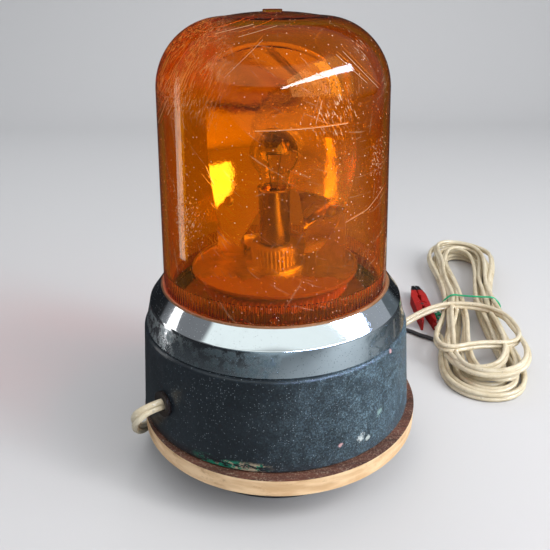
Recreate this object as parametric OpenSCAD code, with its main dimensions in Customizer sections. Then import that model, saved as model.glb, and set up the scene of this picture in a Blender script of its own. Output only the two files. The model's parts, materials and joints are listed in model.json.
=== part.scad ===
// Rotating beacon light on a plywood disc with a magnet foot, with its flex and battery clips.
// Millimetres. The origin is the middle of the foot's flat face. +Z is up, and -Y is the front.

/* [Foot and wood disc] */
// Distance of the foot's edge from the circle of the disc's screws
foot_inset = 9; // [6:0.5:17]
// Height of the foot, its rubber pad included
foot_h = 23; // [18:0.5:30]
// Wall of the magnet pot
pot_wall = 3; // [2:0.5:4]
// Thickness of the rubber pad under the foot
pad_t = 2; // [1:0.5:3]
// How far the plywood disc stands out past the housing
wood_margin = 1.4; // [1:0.1:8]
// Thickness of the plywood disc
wood_t = 9; // [6:0.5:14]
// How far the disc was cut off centre, to the right
wood_dx = 1.8; // [-3:0.1:3]
// How far the disc was cut off centre, to the back
wood_dy = -3.9; // [-4:0.1:2]
// Distance of the disc's screws from the housing's outer edge
base_screw_inset = 9.1; // [8:0.1:11]

/* [Housing] */
// How much wider the housing is at the bottom than at its shoulder
housing_taper = 3.7; // [2:0.1:5]
// How far the shoulder stands out past the chrome ring
shoulder_step = 1.4; // [0.8:0.1:2]
// Height of the housing's side wall
housing_h = 50.6; // [46:0.2:62]
// Thickness of the housing's steel
steel_t = 1.2; // [0.8:0.1:2]
// Width of the housing's turned-in lower lip
base_lip_w = 14.1; // [12:0.1:16]
// Gap between the neck and the chrome ring round it
neck_gap = 1; // [0.5:0.1:1.4]
// Height of the neck above the shoulder
neck_h = 11.6; // [11:0.2:14]
// Thickness of the rubber gasket under the lens
gasket_t = 1.8; // [1:0.1:3]

/* [Chrome ring] */
// Gap between the ring's opening and the lens
ring_gap = 1; // [0.8:0.1:2]
// Width of the ring's sloping top
ring_slope_w = 7.2; // [6.8:0.1:8]
// How much wider the ring is at its lower edge than at its shoulder
ring_flare = 2.8; // [2:0.1:3.2]
// Height of the whole ring
ring_h = 21; // [20:0.2:23]
// Height of the ring's sloping top
ring_slope_h = 7.6; // [6.5:0.1:8.4]
// Thickness of the ring's plated brass
ring_t = 1; // [0.6:0.1:1.3]

/* [Lens] */
// Radius of the lens at the ring
lens_r = 60; // [58.5:0.1:60.2]
// How much narrower the lens is where its top rounds in
lens_taper = 3.7; // [2:0.1:6]
// Height of the lens above the ring
lens_h = 133.6; // [130:0.2:150]
// Wall of the lens
lens_wall = 3; // [2:0.1:3.4]
// Radius of the rounded top corner
lens_corner_r = 33; // [26:0.5:36]
// Rise of the crown in the middle of the top
lens_crown = 2; // [1:0.1:5]
// Width of the lens's foot flange
flange_w = 4; // [3:0.1:4.2]
// Thickness of the lens's foot flange
flange_t = 2.5; // [1.5:0.1:3]

/* [Turntable and hub] */
// Radius of the turntable that carries the reflector
table_r = 44.5; // [43:0.5:48]
// Height of the turntable above the ring's top
table_rise = 6; // [5:0.5:9]
// Thickness of the turntable's sheet
table_t = 1.2; // [0.8:0.1:2]
// Height of the turntable's turned-up edge
table_edge_h = 2.8; // [2:0.1:6]
// Radius of the ribbed hub over the turntable
hub_r = 12.5; // [11:0.5:13]
// Ribs round the hub
hub_ribs = 36; // [20:1:48]
// Outer radius of the fixed hollow spindle
spindle_r = 5; // [4.5:0.1:5.5]
// Bore of the hollow spindle
spindle_bore_r = 3.2; // [2:0.1:3.4]
// Running clearance of the bush on the spindle
run_gap = 0.05; // [0.02:0.01:0.09]
// Wall of the bronze bush
bush_wall = 2.4; // [1.5:0.1:2.6]

/* [Reflector] */
// Focal length of the reflector bowl
focal_l = 24; // [21:0.5:26]
// How far the bowl's highest edge lies under the lens's top
bowl_under = 13.3; // [11:0.1:16]
// Height of the bowl's lowest edge above the ring's top
bowl_low = 14.7; // [12:0.1:17]
// Half width between the bowl's trimmed sides
bowl_half_w = 41; // [36:0.5:42]
// Radius that the bowl's trimmed sides are rounded to
bowl_side_r = 85; // [70:1:110]
// Thickness of the bowl's sheet
bowl_t = 0.8; // [0.6:0.1:1.2]
// Half width of the arch over the bulb holder, at its foot
arch_w = 18; // [15:0.5:20]
// Height of the arch's top above the ring's top
arch_rise = 44; // [40:0.5:46]
// How far the bowl is turned to the viewer's left at rest
rest_turn = 21; // [0:1:40]
// Width of a reflector bracket
bracket_w = 16; // [12:0.5:18]

/* [Gears and motor] */
// Gear module
gear_m = 1; // [1:0.5:1]
// Teeth on the big gear
gear_teeth = 76; // [70:2:78]
// Teeth on the motor pinion
pinion_teeth = 10; // [10:2:12]
// Face width of the big gear
gear_w = 5; // [4:0.5:5.5]
// Play left between meshing teeth
backlash = 0.3; // [0.2:0.05:0.4]
// Radius of the motor can
motor_r = 15; // [12:0.5:16]
// Length of the motor can
motor_l = 36; // [28:0.5:42]
// Radius of the motor shaft
shaft_r = 1.15; // [1:0.05:1.5]
// Direction of the motor from the middle, in degrees
motor_at = 60; // [40:5:140]

/* [Bulb and holder] */
// Radius of the bulb's glass ball
glass_r = 12.5; // [11:0.5:13]
// Radius of the bulb's brass cap
cap_r = 7.5; // [7.3:0.05:7.6]
// Height of the bulb holder
holder_h = 29.4; // [26:0.2:31]
// Bore of the bulb holder
holder_bore_r = 7.8; // [7.7:0.05:8]
// Wall of the bulb holder
holder_wall = 0.5; // [0.4:0.1:0.8]

/* [Flex] */
// Width of the flat twin flex
flex_w = 6.6; // [5.6:0.1:6.8]
// Thickness of the flat twin flex
flex_t = 3.3; // [2.6:0.1:3.4]
// Height of the flex's hole above the housing's lower edge
flex_hole_rise = 22; // [16:1:30]
// Half length of the hank's outer loop
hank_a = 128; // [100:1:130]
// Radius measure of the hank's rounded ends
hank_b = 60; // [56:1:64]
// How much the hank is drawn in at its waist
hank_waist = 0.66; // [0.6:0.01:0.68]
// Loops in the hank
hank_loops = 7.939; // [5.939, 7.939]

/* [Battery clips] */
// Length of a clip's jaws before the pivot
jaw_l = 34; // [28:1:38]
// Length of a clip's handles behind the pivot
handle_l = 30; // [24:1:34]
// Height of a clip as it lies on its side
clip_h = 9; // [8:0.2:9.6]
// Radius of a clip's pivot pin
clip_pin_r = 1.3; // [1:0.1:1.5]
// Radius of a single-core lead
lead_r = 1.5; // [1.2:0.1:1.7]

/* [Hidden] */
$fn = 64;
// Clearances: a seated fit, how far a cut runs past what it cuts, and how far a joined solid runs in
seat = 0.02;
past = 1;
sunk = 0.5;

// Radii, from the lens outwards
flange_r = lens_r + flange_w;
lens_top_r = lens_r - lens_taper;
ring_hole_r = lens_r + ring_gap;
ring_r = ring_hole_r + ring_slope_w;
ring_low_r = ring_r + ring_flare;
neck_r = ring_r - ring_t - neck_gap;
shoulder_r = ring_low_r + shoulder_step;
housing_r = shoulder_r + housing_taper;
wood_r = housing_r + wood_margin;
base_screw_circle = housing_r - base_screw_inset;
foot_r = base_screw_circle - foot_inset;
gasket_r = neck_r - 1.7;
gasket_bore_r = gasket_r - 6.3;
screw_circle = gasket_bore_r - 3.2;
ledge_hole_r = screw_circle - 3;

// Levels, from the floor upwards
wood_z = foot_h;
housing_z = wood_z + wood_t;
shoulder_z = housing_z + housing_h;
ledge_z = shoulder_z + neck_h;
flange_z = ledge_z + gasket_t;
ring_low_z = shoulder_z + 0.4;
ring_z = ring_low_z + ring_h;
plate_t = 1.6;
plate_top = ledge_z - steel_t;
plate_z = plate_top - plate_t;
plate_r = neck_r - steel_t - 2;
wall_slope = atan(housing_taper / housing_h);

// Bowl, whose rim fills the height that the lens leaves it
rim_rho = (lens_h - bowl_low - bowl_under) / 2;
bowl_z = ring_z + bowl_low + rim_rho;
bowl_depth = pow(rim_rho, 2) / (4 * focal_l);

// Bulb, with its filament at the bowl's focus
light_centre = 37;
glass_z = bowl_z;
cap_z = glass_z - light_centre;
cap_l = 18;
neck_glass_r = cap_r - 0.5;
pin_z = cap_z + 7;

// Turntable, hub and spindle, with the bulb holder just over the hub
table_z = ring_z + table_rise;
floor_top = table_z + table_t;
bush_r = spindle_r + run_gap + bush_wall;
holder_z = cap_z - 9.9;
hub_top = holder_z - 0.6;
hub_h = hub_top - floor_top;
hub_flange_r = hub_r + 3.5;
hub_flange_t = 2;
spindle_flange_r = 11;
spindle_flange_t = 2.5;
washer_t = 0.8;
washer_z = plate_top + spindle_flange_t;
bush_z = washer_z + washer_t + 0.1;
bush_top = hub_top - 2.4;
clip_ring_t = 0.8;
holder_floor_t = 2;
holder_r = holder_bore_r + holder_wall;

// Gears and motor
gear_r = gear_m * gear_teeth / 2;
pinion_r = gear_m * pinion_teeth / 2;
gear_gap = gear_r + pinion_r;
gear_z = table_z - 4.6 - gear_w;
gear_hub_r = 12;
motor_x = gear_gap * cos(motor_at);
motor_y = gear_gap * sin(motor_at);
motor_top = plate_z;
shaft_low = motor_top - motor_l + 6;
pinion_l = gear_w + 1.6;
boss_r = 3.2;
boss_h = 1.9;

// Reflector and its brackets
arch_z = ring_z + arch_rise;
arch_round = 5;
arch_top_w = 4;
bracket_x = 29;
bracket_t = 1.2;
tab_lift = 22.8;
bracket_y = 6;
bracket_foot_l = 9.5;
bracket_foot_y = 11;
bracket_screw_x = 4.6;
bracket_screw_r = 1.5;
rivet_r = 1.6;
rivet_head_r = 2.6;
rivet_head_h = 0.7;
rivet_lift = 0.12;

// Hole for the flex
hole_turn = -140;
hole_z = housing_z + flex_hole_rise;
hole_wall_r = housing_r - flex_hole_rise * tan(wall_slope);
hole_r = 5.05;

// Battery clips
clip_z = 0.1;
clip_mid = clip_z + clip_h / 2;

// Route of the flex from the grommet to the hank: over the wood's edge, behind the base, over the hank
flex_route = [
    [-56.8, -47.7, 54], [-61.3, -51.4, 54.4], [-65.5, -53.6, 53.6], [-69.2, -54, 51], [-71.8, -51.6, 47],
    [-74, -46.5, 41.5], [-76.2, -38, 33], [-77.8, -28.5, 24.5], [-78.3, -19, 16.5], [-77.2, -9, 10.5],
    [-75.4, 2, 6.6], [-73.4, 13, 4.2], [-71, 25, 3.5], [-67, 38, 3.4], [-61, 51, 3.4], [-53, 63, 3.4],
    [-43, 74, 3.4], [-31, 83, 3.4], [-17, 90, 3.4], [-2, 95, 3.4], [13, 99, 3.4], [28, 102, 3.4],
    [43, 104, 3.4], [58, 106, 3.4], [72, 108.5, 3.6], [85, 112, 5.2], [97, 116.5, 8.6], [108, 121.5, 12.4],
    [119, 126, 15.6], [130, 129.6, 17.3], [141, 131.4, 17.7], [151, 130.5, 17.7], [160.4, 127.6, 17.7],
    [168.4, 121.6, 17.7], [174, 113, 17.7], [176.3, 102.5, 17.7], [176.5, 91.5, 17.7], [174.8, 81.5, 17.7],
    [170.4, 73.8, 17.7], [163, 70, 17.7], [153.4, 70, 17.7], [143, 69.6, 17.7], [132.8, 67.2, 17.7],
    [123.4, 64.8, 17.7], [116.6, 67.4, 17.7], [114.4, 75, 17.6], [116, 84, 16.8], [119.4, 94, 15.2],
    [123.6, 105, 13.2], [128.4, 116.4, 11.4], [132.6, 127, 10.6]
];
hank_at = [160.5, 152];
hank_turn = -10;
hank_start = 262;
change_turn = 0.7;
layer_z = 3.4;
layer_step = flex_w + 0.5;
loop_step = flex_t + 0.6;
rings_per_loop = 24;

red_clip_at = [121.4, 153];
red_clip_turn = -1.5;
black_clip_at = [31, 116];
black_clip_turn = 90;

// Points on an arc about c, from angle a0 to a1
function arc(c, r, a0, a1, n) = [for (i = [0 : n]) let (a = a0 + (a1 - a0) * i / n) c + r * [cos(a), sin(a)]];

function unit(v) = v / norm(v);
function left_of(v) = [-v[1], v[0]];

// Point i of a path, moved t to the left of the path's direction, with mitred corners
function beside(path, i, t) =
    let (
        last = len(path) - 1,
        a = unit(path[max(i, 1)] - path[max(i, 1) - 1]),
        b = unit(path[min(i, last - 1) + 1] - path[min(i, last - 1)]),
        m = left_of(a) + left_of(b),
        p = path[i] + m * (2 * t / (m * m))
    ) [max(0, p[0]), p[1]];

// Outline of a sheet of thickness t that lies to the left of a path
function sheet(path, t) = concat(path, [for (i = [len(path) - 1 : -1 : 0]) beside(path, i, t)]);

module turned(path, t) rotate_extrude($fn = 96) polygon(sheet(path, t));

module tube(r, bore, h) {
    difference() {
        cylinder(r = r, h = h);
        through() cylinder(r = bore, h = h + 2 * past);
    }
}

// Starts a cut just below what it cuts
module through() translate([0, 0, -past]) children();

module hex_nut(across, bore, h) {
    difference() {
        cylinder(r = across / sqrt(3), h = h, $fn = 6);
        through() cylinder(r = bore, h = h + 2 * past, $fn = 32);
    }
}

module around(n, from = 0) for (i = [0 : n - 1]) rotate(from + 360 * i / n) children();

// Side and up directions of a tube at its point i. The up direction keeps as near to up as it can.
function sweep_frame(pts, i, up = [0, 0, 1]) =
    let (
        last = len(pts) - 1,
        t = unit(pts[min(i + 1, last)] - pts[max(i - 1, 0)]),
        side = unit(cross(t, up))
    ) [side, cross(side, t)];

function sweep_points(pts, section, frames) = [
    for (i = [0 : len(pts) - 1]) for (s = section) pts[i] + s[0] * frames[i][0] + s[1] * frames[i][1]
];

function sweep_faces(n, k) = concat(
    [for (i = [1 : k - 2]) [0, i, i + 1]],
    [for (i = [0 : n - 2]) for (j = [0 : k - 1]) [i * k + j, (i + 1) * k + j, i * k + (j + 1) % k]],
    [for (i = [0 : n - 2]) for (j = [0 : k - 1])
        let (next = (j + 1) % k) [i * k + next, (i + 1) * k + j, (i + 1) * k + next]],
    [for (i = [1 : k - 2]) [(n - 1) * k, (n - 1) * k + i + 1, (n - 1) * k + i]]
);

module sweep(pts, section, frames) {
    polyhedron(sweep_points(pts, section, frames), sweep_faces(len(pts), len(section)), convexity = 12);
}

// A round lead of radius r along points
module wire(pts, r, sides = 8, up = [0, 0, 1]) {
    section = [for (i = [0 : sides - 1]) r * [cos(-360 * i / sides), sin(-360 * i / sides)]];
    frames = [for (i = [0 : len(pts) - 1]) sweep_frame(pts, i, up)];
    sweep(pts, section, frames);
}

// Outline of the flat flex, on its narrow edge: eight points on the run, and six on the hank
flat_section = [
    for (a = [0 : -45 : -315]) [flex_t / 2 * cos(a), flex_w / 2 * sin(a) * (abs(sin(a)) < 0.9 ? 0.86 : 1)]
];
hank_section = [
    for (side = [[0, 1], [1, 0.55], [1, -0.55], [0, -1], [-1, -0.55], [-1, 0.55]])
        [flex_t / 2 * side[0], flex_w / 2 * side[1]]
];

// Foot

pot_top_t = 4;
bolt_r = 4;
bolt_head_r = 7.5;
bolt_head_h = 5.5;
bolt_head_z = foot_h - pot_top_t - bolt_head_h;
bolt_top = housing_z + 11;
bolt_washer_t = 1.6;
magnet_lift = 0.4;
magnet_gap = 4;
magnet_bore_r = 22;

module magnet_pot() color("dimgray")
    difference() {
        union() {
            translate([0, 0, foot_h - pot_top_t]) cylinder(r = foot_r, h = pot_top_t, $fn = 96);
            translate([0, 0, pad_t]) tube(foot_r, foot_r - pot_wall, foot_h - pad_t - pot_top_t / 2);
        }
        translate([0, 0, pad_t]) cylinder(r = bolt_r + 0.2, h = foot_h);
    }

module magnet_ring() color("darkslategray")
    translate([0, 0, pad_t + magnet_lift])
        tube(foot_r - pot_wall - magnet_gap, magnet_bore_r, foot_h - pot_top_t - pad_t - magnet_lift - seat);

pad_margin = 0.6;
pad_round = 0.5;

module foot_pad() color("black")
    rotate_extrude($fn = 96) polygon([
        [0, 0], [foot_r + pad_margin - pad_round, 0], [foot_r + pad_margin, pad_round],
        [foot_r + pad_margin, pad_t], [0, pad_t]
    ]);

module foot_bolt() color("silver") {
    translate([0, 0, bolt_head_z]) cylinder(r = bolt_head_r, h = bolt_head_h, $fn = 6);
    translate([0, 0, foot_h - pot_top_t - sunk])
        cylinder(r = bolt_r, h = bolt_top - foot_h + pot_top_t + sunk);
}

module foot_washer() color("silver") translate([0, 0, housing_z]) tube(10, bolt_r + 0.15, bolt_washer_t);

module foot_nut() color("silver")
    translate([0, 0, housing_z + bolt_washer_t]) hex_nut(13, bolt_r + seat, 6.5);

// Wood disc and the screws that join it to the housing

base_screw_r = 2;
base_head_h = 2.4;
base_screw_past = 5;

module wood_disc() color("burlywood")
    difference() {
        translate([wood_dx, wood_dy, wood_z]) cylinder(r = wood_r, h = wood_t, $fn = 128);
        translate([0, 0, wood_z - past]) cylinder(r = bolt_r + 0.2, h = wood_t + 2 * past);
        base_holes(wood_z - past, wood_t + 2 * past);
    }

module base_holes(z, h)
    around(3, 90) translate([base_screw_circle, 0, z]) cylinder(r = base_screw_r + 0.2, h = h, $fn = 32);

module base_screws() color("silver")
    around(3, 90) translate([base_screw_circle, 0, 0]) {
        translate([0, 0, wood_z - base_head_h]) cylinder(r = 2 * base_screw_r, h = base_head_h, $fn = 32);
        translate([0, 0, wood_z - sunk])
            cylinder(r = base_screw_r, h = sunk + wood_t + steel_t + base_screw_past, $fn = 32);
    }

module base_nuts() color("silver")
    around(3, 90) translate([base_screw_circle, 0, housing_z + steel_t]) hex_nut(7, base_screw_r + seat, 3.2);

// Housing

housing_corner = 1.6;
shoulder_round = 2.6;
neck_fillet = 0.9;
chassis_screw_r = 1.5;
housing_path = concat(
    [[housing_r - base_lip_w, housing_z]],
    arc([housing_r - housing_corner, housing_z + housing_corner], housing_corner, -90, 0, 4),
    arc([shoulder_r - shoulder_round, shoulder_z - shoulder_round], shoulder_round, 4, 90, 6),
    [[neck_r + neck_fillet, shoulder_z]],
    [[neck_r, shoulder_z + neck_fillet]],
    arc([neck_r - housing_corner, ledge_z - housing_corner], housing_corner, 0, 90, 4),
    [[ledge_hole_r, ledge_z]]
);

// Places a child at the flex's hole, with Z along the hole, out of the wall
module at_flex_hole()
    rotate(hole_turn) translate([hole_wall_r, 0, hole_z]) rotate([0, 90 - wall_slope, 0]) children();

module housing() color("midnightblue")
    difference() {
        turned(housing_path, steel_t);
        at_flex_hole() cylinder(r = hole_r, h = 10 * steel_t, center = true);
        base_holes(housing_z - past, steel_t + 2 * past);
        around(3, 30) translate([screw_circle, 0, plate_top - past])
            cylinder(r = chassis_screw_r + 0.2, h = steel_t + 2 * past, $fn = 32);
    }

module gasket() color("black")
    translate([0, 0, ledge_z]) tube(gasket_r, gasket_bore_r, gasket_t);

grommet_bore_r = flex_w / 2 + 0.15;
grommet_out_h = 1.9;
grommet_in_h = 1.7;
grommet_low = -3.4;

module cord_grommet() color("saddlebrown")
    at_flex_hole() difference() {
        union() {
            translate([0, 0, 0.05]) cylinder(r = hole_r + 1.6, h = grommet_out_h);
            translate([0, 0, grommet_low]) cylinder(r = hole_r - seat, h = sunk - grommet_low);
            translate([0, 0, grommet_low]) cylinder(r = hole_r + 1.5, h = grommet_in_h);
        }
        translate([0, 0, grommet_low - past])
            cylinder(r = grommet_bore_r, h = grommet_out_h - grommet_low + 2 * past);
    }

// Chassis and the fixed parts of the lamp

module chassis_plate() color("lightgray")
    difference() {
        translate([0, 0, plate_z]) cylinder(r = plate_r, h = plate_t, $fn = 96);
        plate_hole(spindle_r + 0.1);
        translate([motor_x, motor_y, 0]) plate_hole(boss_r + 0.1);
        at_motor_screws() plate_hole(motor_screw_r + 0.1);
        around(3, 30) translate([screw_circle, 0, 0]) plate_hole(chassis_screw_r + seat);
    }

module plate_hole(r) translate([0, 0, plate_z - past]) cylinder(r = r, h = plate_t + 2 * past, $fn = 48);

module chassis_screws() color("silver")
    around(3, 30) translate([screw_circle, 0, 0]) {
        translate([0, 0, ledge_z]) cylinder(r = 2.9, h = 1.7, $fn = 32);
        translate([0, 0, plate_z - 2])
            cylinder(r = chassis_screw_r, h = ledge_z - plate_z + 2 + sunk, $fn = 32);
    }

spindle_low = plate_z - 6;
spindle_top = holder_z + holder_floor_t;
spindle_nut_h = 4;
groove_z = bush_top + 0.2;
groove_r = spindle_r - 0.5;

module spindle() color("silver")
    difference() {
        union() {
            translate([0, 0, spindle_low]) cylinder(r = spindle_r, h = spindle_top - spindle_low);
            translate([0, 0, plate_top]) cylinder(r = spindle_flange_r, h = spindle_flange_t);
        }
        translate([0, 0, spindle_low - past])
            cylinder(r = spindle_bore_r, h = spindle_top - spindle_low + 2 * past);
        translate([0, 0, groove_z]) tube(spindle_r + past, groove_r, clip_ring_t + 0.1);
    }

module spindle_nut() color("silver")
    translate([0, 0, plate_z - spindle_nut_h]) hex_nut(15, spindle_r + seat, spindle_nut_h);

module thrust_washer() color("peru")
    translate([0, 0, washer_z]) tube(spindle_flange_r - 1.5, spindle_r + 0.1, washer_t);

module spindle_clip() color("silver")
    translate([0, 0, groove_z + 0.05]) difference() {
        tube(spindle_r + 1.5, groove_r + seat, clip_ring_t);
        rotate(45) through() cube(2 * spindle_r);
    }

slot_w = 2.3;
rim_h = 1.2;

module bulb_holder() color("silver")
    difference() {
        union() {
            translate([0, 0, holder_z]) cylinder(r = holder_r, h = holder_h);
            translate([0, 0, holder_z + holder_h - rim_h]) cylinder(r = holder_r + rim_h / 2, h = rim_h);
        }
        translate([0, 0, spindle_top]) cylinder(r = holder_bore_r, h = holder_h);
        translate([0, 0, holder_z - past]) cylinder(r = spindle_r + seat, h = holder_floor_t + 2 * past);
        for (s = [0, 180]) rotate(s) translate([holder_bore_r - past, -slot_w / 2, pin_z - slot_w / 2]) {
            cube([holder_wall + 2.5 * past, slot_w, holder_h]);
            cube([holder_wall + 2.5 * past, slot_w * 2, slot_w]);
        }
    }

insulator_z = holder_z + 4.2;
insulator_t = 2.4;
plunger_r = 1.3;
plunger_head_r = 2 * plunger_r;
spring_bore_r = 2.9;
spring_r = spring_bore_r + 0.7;

module holder_insulator() color("sienna")
    translate([0, 0, insulator_z]) tube(holder_bore_r - 0.05, plunger_r + 1, insulator_t);

module contact_spring() color("silver")
    translate([0, 0, spindle_top + 0.1]) tube(spring_r, spring_bore_r, insulator_z - spindle_top - 0.2);

contact_h = 1.5;
contact_z = cap_z - contact_h;
contact_low = spindle_top + 0.3;

module contact_plunger() color("goldenrod") {
    head_z = insulator_z + insulator_t + 0.1;
    translate([0, 0, contact_low]) cylinder(r = plunger_r, h = contact_z - contact_low);
    translate([0, 0, head_z]) cylinder(r = plunger_head_r, h = contact_z - head_z);
}

// Bulb

contact_hole_r = 4.6;
contact_r = 2.4;
cap_floor_t = 2.5;
cap_wall = 0.35;
pin_r = 0.95;
pin_out = 0.6;

module bulb_cap() color("darkkhaki")
    difference() {
        union() {
            translate([0, 0, cap_z]) cylinder(r = cap_r, h = cap_l);
            translate([0, 0, pin_z]) rotate([0, 90, 0])
                cylinder(r = pin_r, h = 2 * (cap_r + pin_out), center = true, $fn = 24);
        }
        translate([0, 0, cap_z + cap_floor_t]) cylinder(r = cap_r - cap_wall, h = cap_l);
        translate([0, 0, cap_z - past]) cylinder(r = contact_hole_r + seat, h = cap_floor_t + 2 * past);
    }

module cap_insulator() color("black")
    translate([0, 0, cap_z]) tube(contact_hole_r, contact_r + seat, cap_floor_t - 0.1);

module bulb_contact() color("lightgray") {
    translate([0, 0, cap_z]) cylinder(r = contact_r, h = cap_floor_t);
    translate([0, 0, contact_z + seat]) cylinder(r = contact_r - 0.5, h = contact_h + 0.1);
}

glass_t = 0.6;
glass_low = cap_z + 5;
glass_path = concat(
    [[neck_glass_r, glass_low]],
    [[neck_glass_r, glass_z - glass_r * 1.25]],
    [[neck_glass_r + 0.7, glass_z - glass_r * 0.98]],
    arc([0, glass_z], glass_r, -48, 90, 14)
);

module bulb_glass() color("white", 0.5) turned(glass_path, glass_t);

stem_z = glass_low + 0.3;
stem_top = stem_z + 13;
stem_low_r = 4.4;
stem_top_r = 2.4;
filament_half = 3.6;
coil_r = 0.55;
support_r = 0.3;
support_x = 1.1;
support_z = stem_top - 2;
support_lean = atan((filament_half - support_x) / (glass_z - support_z));

module bulb_stem() color("white", 0.5)
    difference() {
        union() {
            translate([0, 0, stem_z]) cylinder(r = neck_glass_r - glass_t - seat, h = 0.8);
            translate([0, 0, stem_z]) cylinder(r1 = stem_low_r, r2 = stem_top_r, h = stem_top - stem_z);
        }
        for (s = [-1, 1]) translate([support_x * s, 0, support_z]) rotate([0, support_lean * s, 0])
            cylinder(r = support_r + seat, h = 4, $fn = 16);
    }

module bulb_filament() color("gray") {
    for (s = [-1, 1]) translate([support_x * s, 0, support_z]) rotate([0, support_lean * s, 0])
        cylinder(r = support_r, h = (glass_z - support_z) / cos(support_lean), $fn = 16);
    translate([0, 0, glass_z - support_r]) rotate([0, 90, 0])
        cylinder(r = coil_r, h = 2 * (filament_half + support_r), center = true, $fn = 24);
}

// Rotor: bush, gear, turntable, hub, brackets and bowl

bush_flange_r = spindle_flange_r - 1.8;
bush_flange_t = 1.4;

module bush() color("peru")
    translate([0, 0, bush_z]) {
        tube(bush_r, spindle_r + run_gap, bush_top - bush_z);
        tube(bush_flange_r, spindle_r + run_gap, bush_flange_t);
    }

// Outline of a gear with involute flanks. thin takes half the play off each tooth.
function involute(base, t) = base * [cos(t) + t * PI / 180 * sin(t), sin(t) - t * PI / 180 * cos(t)];
function spin(p, a) = [p[0] * cos(a) - p[1] * sin(a), p[0] * sin(a) + p[1] * cos(a)];

pressure_angle = 20;
flank_steps = 4;

function tooth_flank(n, m, thin) =
    let (
        pr = n * m / 2,
        base = pr * cos(pressure_angle),
        tip = pr + 0.9 * m,
        low = max(base, pr - m),
        t0 = sqrt(max(0, pow(low / base, 2) - 1)) * 180 / PI,
        t1 = sqrt(pow(tip / base, 2) - 1) * 180 / PI,
        pitch_t = sqrt(pow(pr / base, 2) - 1) * 180 / PI,
        at_pitch = involute(base, pitch_t),
        half = 90 / n - thin / pr * 90 / PI,
        turn = -atan2(at_pitch[1], at_pitch[0]) - half
    ) [for (i = [0 : flank_steps]) spin(involute(base, t0 + (t1 - t0) * i / flank_steps), turn)];

function gear_outline(n, m, thin) =
    let (
        flank = tooth_flank(n, m, thin),
        root = n * m / 2 - 1.25 * m,
        foot_a = atan2(flank[0][1], flank[0][0])
    ) [
        for (k = [0 : n - 1]) let (a = 360 * k / n) each concat(
            [spin([root, 0], a - (180 / n + abs(foot_a)) / 2)],
            [spin(root * unit(flank[0]), a)],
            [for (p = flank) spin(p, a)],
            [for (i = [flank_steps : -1 : 0]) spin([flank[i][0], -flank[i][1]], a)],
            [spin(root * unit([flank[0][0], -flank[0][1]]), a)]
        )
    ];

gear_bore_r = bush_r + seat;
gear_hub_z = bush_z + bush_flange_t + 0.1;
gear_rim_w = 4;
gear_step_w = 3;
gear_recess = 1.2;
gear_window_r = 5.5;
gear_window_at = (gear_r + gear_hub_r) / 2 - past;

module drive_gear() color("ivory")
    difference() {
        union() {
            translate([0, 0, gear_z]) linear_extrude(gear_w)
                polygon(gear_outline(gear_teeth, gear_m, backlash / 2));
            translate([0, 0, gear_hub_z]) cylinder(r = gear_hub_r, h = table_z - gear_hub_z);
        }
        translate([0, 0, bush_z]) cylinder(r = gear_bore_r, h = hub_top - bush_z);
        for (z = [gear_z - past, gear_z + gear_w - gear_recess])
            translate([0, 0, z]) tube(gear_r - gear_rim_w, gear_hub_r + gear_step_w, gear_recess + past);
        around(6) translate([gear_window_at, 0, gear_z - past])
            cylinder(r = gear_window_r, h = gear_w + 2 * past, $fn = 48);
    }

table_round = 1.6;
table_path = concat(
    [[gear_bore_r, table_z]],
    arc([table_r - table_round, table_z + table_round], table_round, -90, 0, 4),
    [[table_r, table_z + table_edge_h]]
);

module turntable() color("gainsboro")
    difference() {
        turned(table_path, table_t);
        at_bracket_screws() translate([0, 0, table_z - past])
            cylinder(r = bracket_screw_r + seat, h = table_t + 2 * past, $fn = 24);
    }

rib_h = 0.5;
hub_plain_h = 1.4;

// Outline of the hub's ribs: each rib and each groove takes half of a step
function hub_outline() = [
    for (i = [0 : hub_ribs * 2 - 1]) for (e = [-1, 1])
        let (a = 90 * (2 * i + e * 0.5) / hub_ribs, r = hub_r - (i % 2) * rib_h) r * [cos(a), sin(a)]
];

module hub() color("gainsboro")
    difference() {
        union() {
            translate([0, 0, floor_top]) cylinder(r = hub_flange_r, h = hub_flange_t);
            translate([0, 0, floor_top + hub_flange_t])
                cylinder(r = hub_r - rib_h - 0.1, h = hub_h - hub_flange_t);
            translate([0, 0, floor_top + hub_flange_t]) linear_extrude(hub_h - hub_flange_t - hub_plain_h)
                polygon(hub_outline());
        }
        translate([0, 0, floor_top - past]) cylinder(r = gear_bore_r, h = hub_h + 2 * past);
    }

// Places children on the four screws that hold the brackets to the turntable
module at_bracket_screws()
    rotate(-rest_turn) for (s = [-1, 1]) for (d = [-1, 1])
        translate([s * bracket_x + d * bracket_screw_x, bracket_foot_y, 0]) children();

// Each bracket ends in a tab that lies on the back of the bowl, so far above its lowest edge
tab_drop = rim_rho - tab_lift;
tab_w = 12;
tab_y = focal_l - (pow(bracket_x, 2) + pow(tab_drop, 2)) / (4 * focal_l);
tab_n = unit([bracket_x / (2 * focal_l), 1, -tab_drop / (2 * focal_l)]);

// Places a child on the back of the bowl at a bracket's rivet, with Z pointing away from the bowl
module at_tab(s)
    rotate(-rest_turn) translate([s * bracket_x, tab_y, bowl_z - tab_drop])
        rotate([0, acos(tab_n[2]), atan2(tab_n[1], s * tab_n[0])]) translate([0, 0, bowl_t]) children();

// The space that the bowl fills, as a solid with its back grown by g
bowl_rim_r = rim_rho + 6;

module bowl_space(g)
    rotate(-rest_turn) translate([0, focal_l, bowl_z]) rotate([90, 0, 0]) rotate_extrude($fn = 96)
        polygon(concat(
            [for (i = [0 : 12]) let (r = bowl_rim_r * i / 12)
                [r, r * r / (4 * focal_l) - g * sqrt(1 + pow(r / (2 * focal_l), 2))]],
            [[0, pow(bowl_rim_r, 2) / (4 * focal_l) - g]]
        ));

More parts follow.
